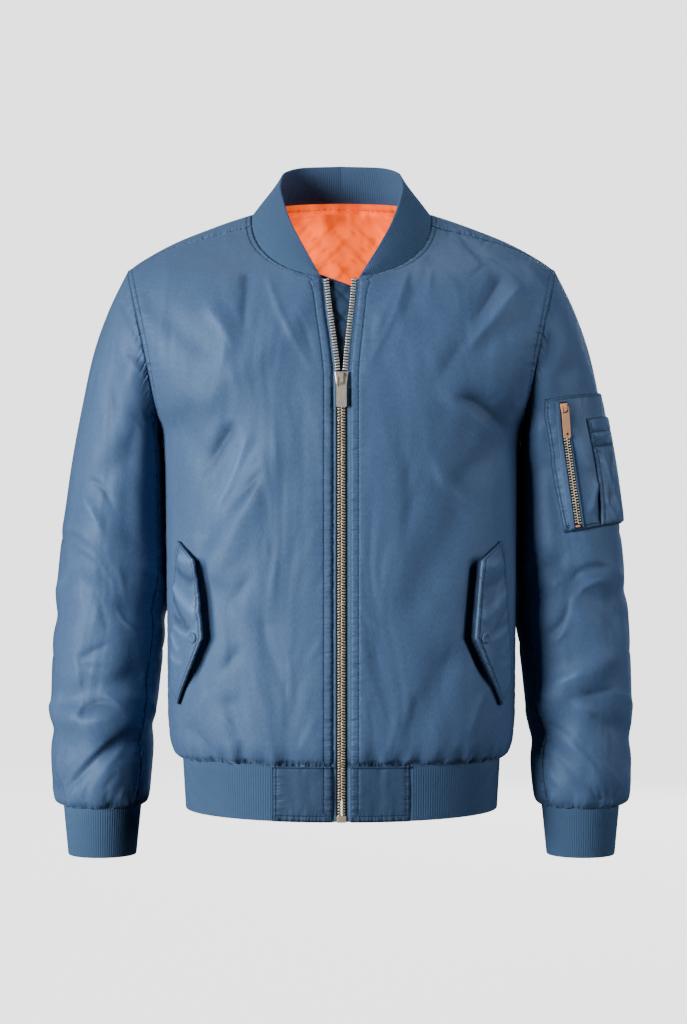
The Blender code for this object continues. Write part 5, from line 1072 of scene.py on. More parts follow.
def make_lining_back(look):
    parts = []
    rows = even_rows("ridge", "back low", LINING_STEP, share=0.2)
    shares = spread(0.19, LINING_STEP) / 0.19 * 0.93
    for side in (1, -1):
        points, normals = lining_form(rows, shares, side)
        neck = neck_point(90.0)[2]
        drop = np.maximum(neck - points[..., 2], 0.0)
        creases = crease_push("lining_back", points, normals)
        x = points[..., 0]
        creases += pucker_push(x, drop, GATHERS) * smooth_step(1 - np.abs(x) / 0.09)
        pressed = quilted(x + 0.012, drop + 0.008, QUILT_PITCH, QUILT_DEPTH, QUILT_WIDE)
        creases -= np.maximum(pressed + QUILT_DEPTH, 0) * smooth_step((drop - 0.010) / 0.02)
        parts.append(patch(points, normals, creases))
    return cloth("lining_back", parts, look, thickness=LINING_CLOTH, weld=WELD)


def make_lining_front(side, word, look):
    rows = even_rows("blouse", "shoulder seam", FRONT_LINING_STEP, share=0.4)
    rows = rows[(rows > AT["blouse"] + 0.7) & (rows < AT["neck two"] + 0.3)]
    shares = 0.22 + spread(0.15, FRONT_LINING_STEP) / 0.15 * 0.71
    points, normals = lining_form(rows, shares, side)
    return cloth(f"lining_front_{word}", [patch(points, normals)], look,
                 thickness=LINING_CLOTH)


BAND_STITCH = 0.0070
BAND_PUCKERS = Puckers(0.0040, 0.0011, 0.0035, 0.0008, 107)


def make_neck_band(look):
    """The stitched edge of the lining inside the collar."""
    angles = np.linspace(8.0, 90.0, 120)
    facing = neck_facing(angles)
    base, top = collar_base(angles, 1), collar_top(angles, 1)
    lift = unit(top - base)
    raised = base + (top - base) * BAND_RISE - facing * (BAND_INSIDE + 0.0002)
    line = np.concatenate([raised, turned(raised, -1)[::-1][1:]])
    facing = np.concatenate([facing, turned(facing, -1)[::-1][1:]])
    lift = np.concatenate([lift, turned(lift, -1)[::-1][1:]])
    shares = np.array([0, 0.0006, 0.0014, 0.0024, 0.0036, 0.0048, 0.0058, 0.0066, 0.0074, 0.0086, 0.0100,
                       0.0112])
    points = line[None] - lift[None] * shares[:, None, None]
    normals = np.broadcast_to(facing, points.shape)
    place = lengths_along(points[:1])
    creases = pucker_push(place, np.abs(shares[:, None] - BAND_STITCH), BAND_PUCKERS)
    creases = -creases - stitch_groove(np.broadcast_to(shares[:, None], creases.shape), BAND_STITCH)
    return cloth("lining_band", [patch(points, normals, creases)], look,
                 thickness=LINING_CLOTH, replaces=("lining_back",))


def centre_depth(z):
    """Depth of the front's outside on the centre line."""
    rows = [row for row in BODY_ROWS if row.neck <= FRONT_END + 0.01]
    return monotone(column(rows, "mid_z"), column(rows, "mid_y"), z)


def front_depth(x, z, side):
    """Depth of a front's outside near the centre line."""
    t = np.linspace(AT["hem edge"], AT["front neck"], 300)
    rows = np.interp(z, between(BODY_ROWS, "mid_z", t), t)
    return np.array([body_point(column_at(a, b, side), b, side)[1] for a, b in zip(x, rows)])


def make_wind_flap(look):
    shares = spread(2 * FLAP_HALF, 0.0026) / (2 * FLAP_HALF)
    top = FLAP_TOP[0] + (FLAP_TOP[1] - FLAP_TOP[0]) * shares
    down = spread(0.51, 0.0032) / 0.51
    z = top[None, :] + (HEM_SEAM + 0.004 - top)[None, :] * down[:, None]
    x = np.broadcast_to(-FLAP_HALF + 2 * FLAP_HALF * shares, z.shape)
    points = pack(x, centre_depth(z) + FLAP_DEPTH + 4.0 * x * x, z)
    normals = np.broadcast_to(np.array((0.0, -1.0, 0.0)), points.shape)
    away = ends(points)[0]
    creases = crease_push("wind_flap", points, normals) + seam_roll(away, 0.0006)
    creases += stitch_groove(away, 0.0050)
    creases += pucker_push(x + 0.03, away, Puckers(0.0070, 0.0016, 0.007, 0.0006, 113))
    creases += quilted(x, z, *FLAP_QUILT)
    return cloth("wind_flap", [patch(points, normals, creases)], look, thickness=0.0014)


# ---- Zips ----------------------------------------------------------------------------------------
TOOTH_PITCH = 0.0030
TOOTH_SIZE, OPEN_TOOTH_SIZE, SMALL_TOOTH_SIZE = (0.0042, 0.0022, 0.0017), (0.0051, 0.0024, 0.0017), \
    (0.0036, 0.0016, 0.0015)
TOOTH_MIDDLE = 0.0012       # how far a tooth's middle lies before its tape
TAPE_CLOTH, SMALL_TAPE_CLOTH = 0.0007, 0.0006


def make_tape(side, word, look):
    """One side's woven tape, from inside the front's edge to behind the cloth."""
    z = np.arange(ZIP_TOP, TAPE_BOTTOM, -0.0035)
    z = np.append(z, TAPE_BOTTOM)
    edge = front_edge(z, side)
    shares = np.linspace(0, 1, 9)
    x = edge[:, None] - TAPE_INSIDE + (TAPE_REACH + TAPE_INSIDE) * shares[None, :]
    outer = front_depth(edge + TAPE_REACH, z, side)
    behind = np.clip((x - edge[:, None]) / TAPE_REACH, 0, 1)
    y = centre_depth(z)[:, None] * (1 - behind) + outer[:, None] * behind + TAPE_BEHIND
    points = turned(pack(x, y, z[:, None]), side)
    normals = np.broadcast_to(np.array((0.0, -1.0, 0.0)), points.shape)
    part = patch(points, normals, seams=((lengths_down(points), lengths_along(points), 0.0),))
    return cloth(f"zip_tape_{word}", [part], look, thickness=TAPE_CLOTH)


def tooth(bm, place, turn, size):
    """One tooth: a bar with a rounded head towards the other side of the zip."""
    matrix = Matrix.Translation(Vector(place)) @ turn.to_4x4() @ Matrix.Diagonal((*size, 1.0))
    made = bmesh.ops.create_cube(bm, size=1.0, matrix=matrix)
    edges = {edge for vert in made["verts"] for edge in vert.link_edges}
    bmesh.ops.bevel(bm, geom=list(edges), offset=min(size) * 0.30, segments=2, affect="EDGES", profile=0.5,
                    material=-1)


def make_open_teeth(side, word, look):
    bm = bmesh.new()
    z = np.arange(TEETH_TOP - 0.001, TEETH_BOTTOM, -TOOTH_PITCH)
    inner = front_edge(z, side) - TAPE_INSIDE
    lean = Matrix.Rotation(radians(side * 9), 3, "Y")
    for height, start in zip(z, inner):
        x = side * (start + 0.0026)
        y = float(centre_depth(height)) + TAPE_BEHIND - SEAM - TOOTH_MIDDLE
        tooth(bm, (x, y, height), lean, OPEN_TOOTH_SIZE)
    return finish(f"zip_teeth_{word}_row", bm, look, (f"zip_teeth_{word}",))


def make_chain(look):
    """The closed chain: teeth from both sides in turn, each with its head in the middle."""
    bm = bmesh.new()
    for side in (1, -1):
        lean = Matrix.Rotation(radians(side * 14), 3, "Y")
        start = CHAIN_TOP - 0.0006 - (TOOTH_PITCH / 2 if side > 0 else 0)
        for height in np.arange(start, CHAIN_BOTTOM, -TOOTH_PITCH):
            y = float(centre_depth(height)) + TAPE_BEHIND - SEAM - TOOTH_MIDDLE
            tooth(bm, (side * 0.0019, y, height), lean, TOOTH_SIZE)
    return finish("zip_chain_teeth", bm, look, ("zip_chain",))


# ---- Pockets -------------------------------------------------------------------------------------
Place = namedtuple("Place", "origin facing up")
# Flap of the slanted hand pocket: height from its middle, then its back and its front edge.
FLAP_ROWS = [
    (0.0872, -0.0075, -0.0052), (0.0673, -0.0150, 0.0262), (0.0400, -0.0190, 0.0290),
    (0.0100, -0.0235, 0.0318), (-0.0157, -0.0280, 0.0337), (-0.0400, -0.0320, 0.0215),
    (-0.0653, -0.0340, 0.0075), (-0.0880, -0.0100, -0.0062),
]
FLAP_CREASES = [    # from the seam (across, down) to (across, down), width, height
    (0.012, 0.020, 0.040, 0.038, 0.0040, 0.0024), (0.008, 0.033, 0.043, 0.060, 0.0036, -0.0018),
    (0.006, 0.052, 0.050, 0.093, 0.0044, 0.0026), (0.005, 0.066, 0.030, 0.094, 0.0030, -0.0018),
    (0.009, 0.085, 0.038, 0.103, 0.0036, -0.0020), (0.014, 0.094, 0.046, 0.112, 0.0038, 0.0019),
    (0.010, 0.128, 0.030, 0.139, 0.0032, 0.0014), (0.006, 0.104, 0.024, 0.122, 0.0030, 0.0014),
]
FLAP_WEAR = {1: 0.4, -1: 1.0}       # how strongly each flap is creased
POCKET_CREASES = [
    (0.026, 0.040, 0.040, 0.078, 0.0050, 0.0012), (0.034, 0.126, 0.048, 0.100, 0.0036, 0.0018),
    (0.042, 0.138, 0.050, 0.112, 0.0030, -0.0016),
]
PEN_CREASES = [
    (0.008, 0.020, 0.034, 0.017, 0.0026, 0.0012), (0.006, 0.027, 0.026, 0.030, 0.0024, -0.0010),
    (0.012, 0.050, 0.030, 0.104, 0.0040, 0.0016), (0.030, 0.044, 0.014, 0.096, 0.0036, -0.0013),
    (0.034, 0.058, 0.046, 0.108, 0.0042, 0.0016), (0.020, 0.088, 0.044, 0.070, 0.0034, -0.0011),
    (0.008, 0.092, 0.020, 0.112, 0.0030, 0.0013),
]
FLAP_STITCH, POCKET_STITCH, PEN_LINES = 0.0050, 0.0040, (0.0150, 0.0310)
LAY_FROM = 0.15             # where a patch starts before it is laid on its skin
MOUTH_DEPTH = 0.0068
SNAP_FLAT = (-0.0208, -0.0157)
SNAP_PROFILE = [
    (0.0, 0.00115), (0.0018, 0.00120), (0.0030, 0.00160), (0.0040, 0.00190), (0.0050, 0.00175),
    (0.0058, 0.00120), (0.0062, 0.00050), (0.0062, 0.00020), (0.0, 0.00020),
]
SLEEVE_POCKET_ROWS = [
    (0.0700, -0.0600, 0.0480), (0.0500, -0.0566, 0.0490), (0.0300, -0.0533, 0.0500),
    (0.0100, -0.0503, 0.0500), (-0.0100, -0.0480, 0.0500), (-0.0300, -0.0467, 0.0500),
    (-0.0500, -0.0458, 0.0490), (-0.0750, -0.0448, 0.0480),
]
PEN_POCKET_ROWS = [(0.0430, -0.0150, 0.0470), (0.0200, -0.0116, 0.0480), (-0.0040, -0.0082, 0.0485),
                   (-0.0280, -0.0068, 0.0485), (-0.0520, -0.0080, 0.0475), (-0.0735, -0.0104, 0.0465)]
SLEEVE_ZIP_TOP, SLEEVE_ZIP_BOTTOM = (-0.0465, 0.0640), (-0.0365, -0.0725)
SLEEVE_TAPE_HALF = 0.0056


def laid(skin, place, rows, thickness, lift, step):
    """A patch cut flat in rows (height, left, right) and laid on a skin, lift(w, h) above it."""
    heights, lefts, rights = (np.array(values) for values in zip(*rows))
    total = heights[0] - heights[-1]
    down = spread(total, step) / total
    level = heights[0] - total * down
    left, right = np.interp(-level, -heights, lefts), np.interp(-level, -heights, rights)
    widest = float((right - left).max())
    across = spread(widest, step) / widest
    side = place.up.cross(place.facing).normalized()
    points, normals = np.zeros((len(down), len(across), 3)), np.zeros((len(down), len(across), 3))
    for r, h in enumerate(level):
        for c, share in enumerate(across):
            w = left[r] + (right[r] - left[r]) * share
            start = place.origin + side * w + place.up * h + place.facing * LAY_FROM
            spot, normal, _, _ = skin.ray_cast(start, -place.facing)
            if spot is None:
                spot, normal, _, _ = skin.find_nearest(start - place.facing * LAY_FROM)
            normal = (normal * 0.5 + place.facing * 0.5).normalized()
            points[r, c] = spot + normal * (float(lift(share, down[r])) + thickness)
            normals[r, c] = normal
    return points, unit(normals)


def flat_creases(across, down, marks):
    """Creases of a small patch, each from one flat point of it to another."""
    push = np.zeros(across.shape)
    for a0, b0, a1, b1, width, height in marks:
        run = np.array((a1 - a0, b1 - b0))
        share = np.clip(((across - a0) * run[0] + (down - b0) * run[1]) / (run @ run), 0, 1)
        push += height * bell(np.hypot(across - a0 - run[0] * share, down - b0 - run[1] * share) / width)
    return push


def flap_place(side):
    return Place(Vector((side * 0.16135 - 0.00025, -0.0640 - side * 0.0037, -0.4440)),
                 Vector((side * sin(radians(52)), -cos(radians(52)), 0.0)), Vector((0, 0, 1)))


def mouth_push(side, points):
    """The hollow of a hand pocket's mouth, beside the free edge of its flap."""
    place = flap_place(side)
    away = points - np.array(place.origin)
    height = away @ np.array(place.up)
    free = np.interp(-height, [-row[0] for row in FLAP_ROWS], [row[2] for row in FLAP_ROWS])
    beyond = -side * (away @ np.array(place.up.cross(place.facing).normalized())) - free
    depth = MOUTH_DEPTH * smooth_step((height + 0.074) / 0.03) * smooth_step((0.074 - height) / 0.02)
    return -depth * smooth_step((beyond + 0.005) / 0.005) * (1 - smooth_step((beyond - 0.004) / 0.008))


def sleeve_pocket_place():
    facing = Vector((sin(radians(38)), -cos(radians(38)), 0.12)).normalized()
    up = Vector((0, 0, 1)) - facing * facing.z
    up = (up.normalized() + Vector((-0.10, -0.06, 0))).normalized()
    return Place(Vector((0.2790, -0.0300, -0.2660)), facing, (up - facing * up.dot(facing)).normalized())


def edges_of(points):
    """Distances from a patch's top, bottom, left and right edges."""
    top, low = ends(points)
    left = lengths_along(points)
    return top, low, left, left[:, -1:] - left


def make_flap(side, word, satin):
    """Flap over a slanted hand pocket, with its edge stitching."""
    rows = [(h, -b, -a) for h, a, b in FLAP_ROWS] if side > 0 else FLAP_ROWS
    free = (lambda w: 1 - w) if side > 0 else (lambda w: w)

    def lift(w, h):
        return 0.0018 + 0.0022 * smooth_step((free(w) - 0.45) / 0.5) * smooth_step(h / 0.2)

    points, normals = laid(SKINS[f"front_{word}"], flap_place(side), rows, 0.0020, lift, 0.0024)
    top, low, left, right = edges_of(points)
    creases = seam_roll(left, 0.0010) + seam_roll(right, 0.0010)
    for away, seed in ((left, 131), (right, 137)):
        creases += stitch_groove(away, FLAP_STITCH)
        creases += pucker_push(top, away, Puckers(0.0090, 0.0022, 0.008, 0.0002, seed))
    hinge = right if side > 0 else left
    worn = FLAP_WEAR[side] * smooth_step((hinge - 0.003) / 0.005)
    creases += flat_creases(hinge + side * 0.001, top - side * 0.002, FLAP_CREASES) * worn
    seams = ((top, left, FLAP_STITCH), (top + 3.0, right, FLAP_STITCH))
    return cloth(f"pocket_flap_{word}", [patch(points, normals, creases, seams)], satin,
                 thickness=0.0018)


def make_snap(side, word, look):
    """A snap's cloth-coloured cap: a shallow turned dome with a rim and a hollow middle."""
    place = flap_place(side)
    right = place.up.cross(place.facing).normalized()
    skin = SKINS[f"pocket_flap_{word}"]
    start = place.origin + right * (side * SNAP_FLAT[0]) + place.up * SNAP_FLAT[1] + place.facing * LAY_FROM
    spot, normal, _, _ = skin.ray_cast(start, -place.facing)
    bm = bmesh.new()
    verts = [bm.verts.new((r, 0, z)) for r, z in SNAP_PROFILE]
    edges = [bm.edges.new(pair) for pair in zip(verts, verts[1:])]
    bmesh.ops.spin(bm, geom=verts + edges, cent=(0, 0, 0), axis=(0, 0, 1), angle=2 * pi, steps=32,
                   use_merge=True)
    bmesh.ops.remove_doubles(bm, verts=bm.verts, dist=0.00001)
    turn = normal.to_track_quat("Z", "Y").to_matrix().to_4x4()
    bmesh.ops.transform(bm, matrix=Matrix.Translation(spot + normal * 0.0002) @ turn, verts=bm.verts)
    return finish(f"snap_{word}_cap", bm, look, (f"snap_{word}",), sharp=50)


PEN_PUCKERS = Puckers(0.0070, 0.0020, 0.006, 0.0007, 163)


def make_sleeve_pocket(satin):
    place = sleeve_pocket_place()
    points, normals = laid(SKINS["sleeve_upper_left"], place, SLEEVE_POCKET_ROWS, 0.0018, lambda w, h: 0.0021,
                           0.0026)
    top, low, left, right = edges_of(points)
    creases = seam_roll(top) + seam_roll(low) + seam_roll(left) + seam_roll(right)
    for away, along, seed in ((left, top, 139), (right, top, 149), (low, left, 151), (top, left, 157)):
        creases += stitch_groove(away, POCKET_STITCH)
        creases += pucker_push(along, away, Puckers(0.0085, 0.0020, 0.009, 0.0008, seed))
    creases += flat_creases(left, top, POCKET_CREASES)
    seams = ((top, left, POCKET_STITCH), (left, low, POCKET_STITCH), (left + 3.0, top, 0.0030))
    cloth("sleeve_pocket", [patch(points, normals, creases, seams)], satin,
          thickness=0.0016)
    points, normals = laid(SKINS["sleeve_pocket"], place, PEN_POCKET_ROWS, 0.0016,
                           lambda w, h: 0.0008 + 0.0016 * sin(pi * w), 0.0026)
    top, low, left, right = edges_of(points)
    creases = seam_roll(top) + seam_roll(low) + seam_roll(left) + seam_roll(right)
    creases += stitch_groove(left, POCKET_STITCH) + flat_creases(left, top, PEN_CREASES)
    seams = [(top, left, POCKET_STITCH), (left, top, PLAIN_SEAM)]
    for line, seed in zip(PEN_LINES, (163, 167)):
        away = np.abs(top - line)
        creases += stitch_groove(top, line) + pucker_push(left, away, PEN_PUCKERS._replace(seed=seed))
        seams.append((left, away, PLAIN_SEAM))
    return cloth("pen_pocket", [patch(points, normals, creases, seams)], satin,
                 thickness=0.0014)


def zip_row(share, half):
    """Height and both edges of the sleeve zip, from its top (0) to its bottom (1)."""
    (w0, h0), (w1, h1) = SLEEVE_ZIP_TOP, SLEEVE_ZIP_BOTTOM
    middle = w0 + (w1 - w0) * share + 0.0015 * sin(pi * share)
    return h0 + (h1 - h0) * share, middle - half, middle + half


def make_sleeve_zip(tape, teeth):
    place = sleeve_pocket_place()
    rows = [zip_row(k / 24, SLEEVE_TAPE_HALF) for k in range(25)]
    points, normals = laid(SKINS["sleeve_pocket"], place, rows, 0.0006, lambda w, h: SEAM * 3, 0.0028)
    inward = lengths_along(points)
    inward = np.abs(inward - inward[:, points.shape[1] // 2, None])
    part = patch(points, normals, seams=((lengths_down(points), inward, 0.0),))
    cloth("sleeve_zip_tape", [part], tape,
          thickness=SMALL_TAPE_CLOTH)
    middle = points.shape[1] // 2
    line, facing = points[:, middle], normals[:, middle]
    gone = lengths_along(line)
    bm = bmesh.new()
    for side in (1, -1):
        first = 0.013 + (TOOTH_PITCH / 2 if side > 0 else 0)
        for at in np.arange(first, gone[-1] - 0.004, TOOTH_PITCH):
            spot, ahead = along_line(line, [at])[0], along_line(line, [at + 0.001])[0]
            down = Vector(unit(ahead - spot))
            normal = Vector([np.interp(at, gone, facing[:, k]) for k in range(3)]).normalized()
            across = down.cross(normal).normalized() * side
            turn = Matrix((across, normal, -down)).transposed()
            tooth(bm, Vector(spot) + across * 0.0016 + normal * 0.0009, turn, SMALL_TOOTH_SIZE)
    return finish("sleeve_zip_chain_teeth", bm, teeth, ("sleeve_zip_chain",))


# ---- Finishes ------------------------------------------------------------------------------------
def fill(tree, made, inputs):
    """Gives each input of a node its link or its value."""
    for key, value in inputs.items():
        if isinstance(value, bpy.types.NodeSocket):
            tree.links.new(value, made.inputs[key])
        else:
            made.inputs[key].default_value = value


def node(tree, kind, inputs, **settings):
    made = tree.nodes.new(kind)
    for key, value in settings.items():
        setattr(made, key, value)
    fill(tree, made, inputs)
    return made


def maths(tree, operation, first, second=0.0, third=0.0):
    return node(tree, "ShaderNodeMath", {0: first, 1: second, 2: third}, operation=operation).outputs[0]


def noise(tree, vector, scale=1.0, detail=2.0, roughness=0.5, distortion=0.0):
    inputs = {"Vector": vector, "Scale": scale, "Detail": detail, "Roughness": roughness,
              "Distortion": distortion}
    return node(tree, "ShaderNodeTexNoise", inputs).outputs["Fac"]


def stretch(tree, vector, *scale, **more):
    return node(tree, "ShaderNodeMapping", {"Vector": vector, "Scale": scale, **more}).outputs[0]


def range_of(tree, value, low, high, at_low, at_high):
    inputs = {"Value": value, 1: low, 2: high, 3: at_low, 4: at_high}
    return node(tree, "ShaderNodeMapRange", inputs).outputs[0]


def limited(tree, value, low, high):
    return node(tree, "ShaderNodeClamp", {0: value, 1: low, 2: high}).outputs[0]


def tint(tree, colour, tone):
    return node(tree, "ShaderNodeVectorMath", {0: colour, "Scale": tone}, operation="SCALE").outputs[0]


def group(name, inputs, outputs, build):
    """A shared effect as a node group: build(tree, sockets) gives its output sockets."""
    tree = bpy.data.node_groups.new(name, "ShaderNodeTree")
    for label, default in inputs.items():
        kind = "Float" if isinstance(default, float) else default
        socket = tree.interface.new_socket(name=label, in_out="INPUT", socket_type=f"NodeSocket{kind}")
        if isinstance(default, float):
            socket.default_value = default
    for label in outputs:
        kind = "Color" if label == "Colour" else "Float"
        tree.interface.new_socket(name=label, in_out="OUTPUT", socket_type=f"NodeSocket{kind}")
    entry, leave = tree.nodes.new("NodeGroupInput"), tree.nodes.new("NodeGroupOutput")
    fill(tree, leave, dict(zip(outputs, build(tree, entry.outputs))))
    return tree


PUCKER_PITCH, PUCKER_REACH = 0.0052, 0.0090
PUCKER_DRAWN = 40.0         # change of a pucker's noise in a metre away from its seam
# widths of the seam valley in the bump, of the painted shade along a seam, and of a stitch groove
VALLEY_WIDE, SEAM_SHADE_WIDE, GROOVE_WIDE = 0.0013, 0.0007, 0.0008


def satin_effect(tree, sockets):
    """Weave, soft wrinkles, pulls at the seams and a slight drift of colour, with painted shade along seams
    and stitch grooves and painted shade and highlight on creases.
    """
    times = lambda a, b: maths(tree, "MULTIPLY", a, b)
    add = lambda a, b, c: maths(tree, "MULTIPLY_ADD", a, b, c)
    place, cloth_place = sockets["Place"], sockets["Cloth"]
    seam = node(tree, "ShaderNodeSeparateXYZ", {0: sockets["Seam"]}).outputs
    sewn = maths(tree, "GREATER_THAN", seam["Z"], 0.00001)

    def line(distance, width):
        """1 where the distance is 0, falling to 0 away from it, and 0 on cloth without a seam."""
        away = times(distance, 1 / width)
        return times(maths(tree, "EXPONENT", times(times(away, away), -1.0)), sewn)

    small = noise(tree, place, 95.0, 4.0, 0.6)
    weave = noise(tree, stretch(tree, cloth_place, 5200.0, 900.0, 1.0), detail=1.0)
    slub = noise(tree, stretch(tree, cloth_place, 620.0, 210.0, 1.0), detail=3.0, roughness=0.7)
    tone = times(add(noise(tree, place, 7.0, 3.0), 0.16, 0.92), add(weave, 0.10, 0.95))
    tone = times(times(tone, add(slub, 0.70, 0.65)), add(small, 0.10, 0.95))
    near = maths(tree, "POWER", times(seam["Y"], 1 / PUCKER_REACH), 1.5)
    near = times(maths(tree, "EXPONENT", times(near, -1.0)), sewn)
    along = node(tree, "ShaderNodeCombineXYZ", {"X": times(seam["X"], 1 / PUCKER_PITCH),
                                                "Y": times(seam["Y"], PUCKER_DRAWN)})
    pulls = noise(tree, along.outputs[0], detail=1.5, distortion=0.3)
    groove = line(maths(tree, "SUBTRACT", seam["Y"], seam["Z"]), GROOVE_WIDE)
    height = add(noise(tree, place, 15.0, 7.0, 0.6, 0.3), 1.0, times(small, sockets["Fine"]))
    drape = noise(tree, stretch(tree, place, 1.0, 1.0, 0.38), 19.0, 2.0, 0.45, 0.5)
    for value, share in ((weave, 0.03), (slub, 0.12), (drape, sockets["Drape"]),
                         (times(maths(tree, "SUBTRACT", pulls, 0.5), near), sockets["Pucker"]),
                         (groove, -0.7), (line(seam["Y"], VALLEY_WIDE), -1.6)):
        height = add(value, share, height)
    # painted shade in crease valleys and painted highlight on ridges, taken from the crease relief
    crease_shade = limited(tree, add(sockets["Relief"], sockets["Depth"], 1.0), 0.60, 1.5)
    # painted shade along each seam, where the cloth turns into it
    tone = times(times(tone, crease_shade), add(line(seam["Y"], SEAM_SHADE_WIDE), -0.55, 1.0))
    # painted shade in the stitch groove, which also sinks into the bump
    tone = times(tone, add(groove, -0.25, 1.0))
    return tint(tree, sockets["Colour"], tone), height, add(small, 0.12, sockets["Gloss"])


LOOP_PITCH = 0.0016


def knit_effect(tree, sockets):
    """Rows of small loops, with painted shade between the ribs."""
    times = lambda a, b: maths(tree, "MULTIPLY", a, b)
    add = lambda a, b, c: maths(tree, "MULTIPLY_ADD", a, b, c)
    uv = node(tree, "ShaderNodeSeparateXYZ", {0: sockets["Cloth"]}).outputs
    # painted shade between the ribs
    rib = maths(tree, "COSINE", times(uv["X"], 2 * pi / RIB_PITCH))
    lean = times(maths(tree, "ABSOLUTE", maths(tree, "SINE", times(uv["X"], pi / RIB_PITCH))), 1.6)
    loops = maths(tree, "SINE", maths(tree, "ADD", times(uv["Y"], 2 * pi / LOOP_PITCH), lean))
    fuzz = noise(tree, sockets["Place"], 900.0)
    tone = times(add(rib, 0.05, add(loops, 0.05, 1.0)), add(fuzz, 0.35, 0.83))
    tone = times(tone, add(noise(tree, sockets["Place"], 16.0), 0.20, 0.90))
    return tint(tree, sockets["Colour"], tone), add(loops, 0.35, times(fuzz, 0.8))


def metal_effect(tree, sockets):
    """Handled metal: faint scratches and duller patches."""
    spots = noise(tree, sockets["Place"], 260.0, 3.0)
    scratch = noise(tree, stretch(tree, sockets["Place"], 300.0, 300.0, 2500.0))
    tone = maths(tree, "MULTIPLY_ADD", spots, 0.30, 0.85)
    rough = maths(tree, "MULTIPLY_ADD", spots, 0.16, sockets["Gloss"])
    return tint(tree, sockets["Colour"], tone), scratch, rough


COLOUR_IN = {"Place": "Vector", "Colour": "Color"}
CLOTH_IN = {**COLOUR_IN, "Cloth": "Vector"}
# the last input sets how much painted shade goes into crease valleys and painted highlight onto ridges
SATIN_IN = {**CLOTH_IN, "Seam": "Vector", "Gloss": 0.4, "Fine": 0.3, "Pucker": 4.5, "Drape": 8.5,
            "Relief": 0.0, "Depth": 80.0}
EFFECTS = {
    "Satin weave": (SATIN_IN, ("Colour", "Height", "Roughness"), satin_effect),
    "Rib knit": (CLOTH_IN, ("Colour", "Height"), knit_effect),
    "Handled metal": ({**COLOUR_IN, "Gloss": 0.3}, ("Colour", "Height", "Roughness"), metal_effect),
}


def shader_of(name):
    look = bpy.data.materials.new(name)
    look.use_nodes = True
    return look, look.node_tree, look.node_tree.nodes["Principled BSDF"]


def use_effect(tree, shader, kind, colour, strength, distance, inputs):
    """The shared effect of a kind of finish, on a material's colour, roughness and normal."""
    shared = bpy.data.node_groups.get(kind) or group(kind, *EFFECTS[kind])
    made = node(tree, "ShaderNodeGroup", {"Colour": (*colour, 1.0), **inputs}, node_tree=shared).outputs
    bump = node(tree, "ShaderNodeBump", {"Height": made["Height"], "Strength": strength,
                                         "Distance": distance})
    fill(tree, shader, {"Base Color": made["Colour"], "Normal": bump.outputs[0]})
    if "Roughness" in made:
        fill(tree, shader, {"Roughness": made["Roughness"]})
    return made["Colour"]


COOL = (0.45, 0.68, 1.0)                # tint of the gloss on blue cloth
TAPE_SHADOW_EDGE = 0.0012
GLOW_CENTRE = (0.0, -0.065, 0.030)       # brings the middle of the lining's painted glow to 0
# The painted glow of the lining: full within the near distance, gone beyond the far one, and its orange.
GLOW_NEAR, GLOW_FAR = 0.09, 0.17
GLOW_ORANGE = (1.0, 0.100, 0.0)


def satin_look(name, colour, gloss, glow=COOL, wrinkle=0.0009, specular=0.32, sheen=0.25, painted_glow=0.0,
               depth=80.0, shadow=0.0, pucker=4.5, shade=1.0):
    """Satin: depth is how much its creases change its tone, as painted shade in their valleys and painted
    highlight on their ridges; shadow is how far a painted shadow beside a zip's teeth reaches; shade darkens
    its whole colour as painted shade; a lining may glow with painted light round the neck.
    """
    look, tree, shader = shader_of(name)
    place = node(tree, "ShaderNodeTexCoord", {}).outputs
    seam = node(tree, "ShaderNodeAttribute", {}, attribute_name="seam").outputs["Vector"]
    relief = node(tree, "ShaderNodeAttribute", {}, attribute_name="relief").outputs["Fac"]
    tone = use_effect(tree, shader, "Satin weave", [shade * part for part in colour], 1.0, wrinkle,
                      {"Place": place["Object"], "Cloth": place["UV"], "Seam": seam, "Relief": relief,
                       "Depth": depth, "Pucker": pucker, "Gloss": gloss})
    if shadow:
        inward = node(tree, "ShaderNodeSeparateXYZ", {0: seam}).outputs["Y"]
        dark = range_of(tree, inward, shadow, shadow + TAPE_SHADOW_EDGE, 0.06, 1.0)
        fill(tree, shader, {"Base Color": tint(tree, tone, dark)})
    fill(tree, shader, {"Specular IOR Level": specular, "Specular Tint": (*glow, 1.0),
                        "Sheen Weight": sheen, "Sheen Roughness": 0.35, "Sheen Tint": (*glow, 1.0)})
    # painted light: the lining glows round the neck, with painted shade between soft folds and along its
    # creases
    if painted_glow:
        away = stretch(tree, place["Object"], 1.0, 1.0, 1.0, Location=GLOW_CENTRE)
        away = node(tree, "ShaderNodeVectorMath", {0: away}, operation="LENGTH").outputs["Value"]
        near = range_of(tree, away, GLOW_NEAR, GLOW_FAR, 1.0, 0.0)
        drawn = stretch(tree, place["Object"], 34.0, 34.0, 9.0, Rotation=(0.0, 0.35, 0.0))
        glow_fold_shade = range_of(tree, noise(tree, drawn, distortion=0.5), 0.36, 0.62, 0.50, 1.0)
        rise = limited(tree, maths(tree, "MULTIPLY_ADD", relief, depth, 1.0), 0.25, 1.6)
        near = maths(tree, "MULTIPLY", maths(tree, "MULTIPLY", near, glow_fold_shade), rise)
        fill(tree, shader, {"Emission Color": tint(tree, GLOW_ORANGE, near), "Emission Strength": painted_glow})
    return look


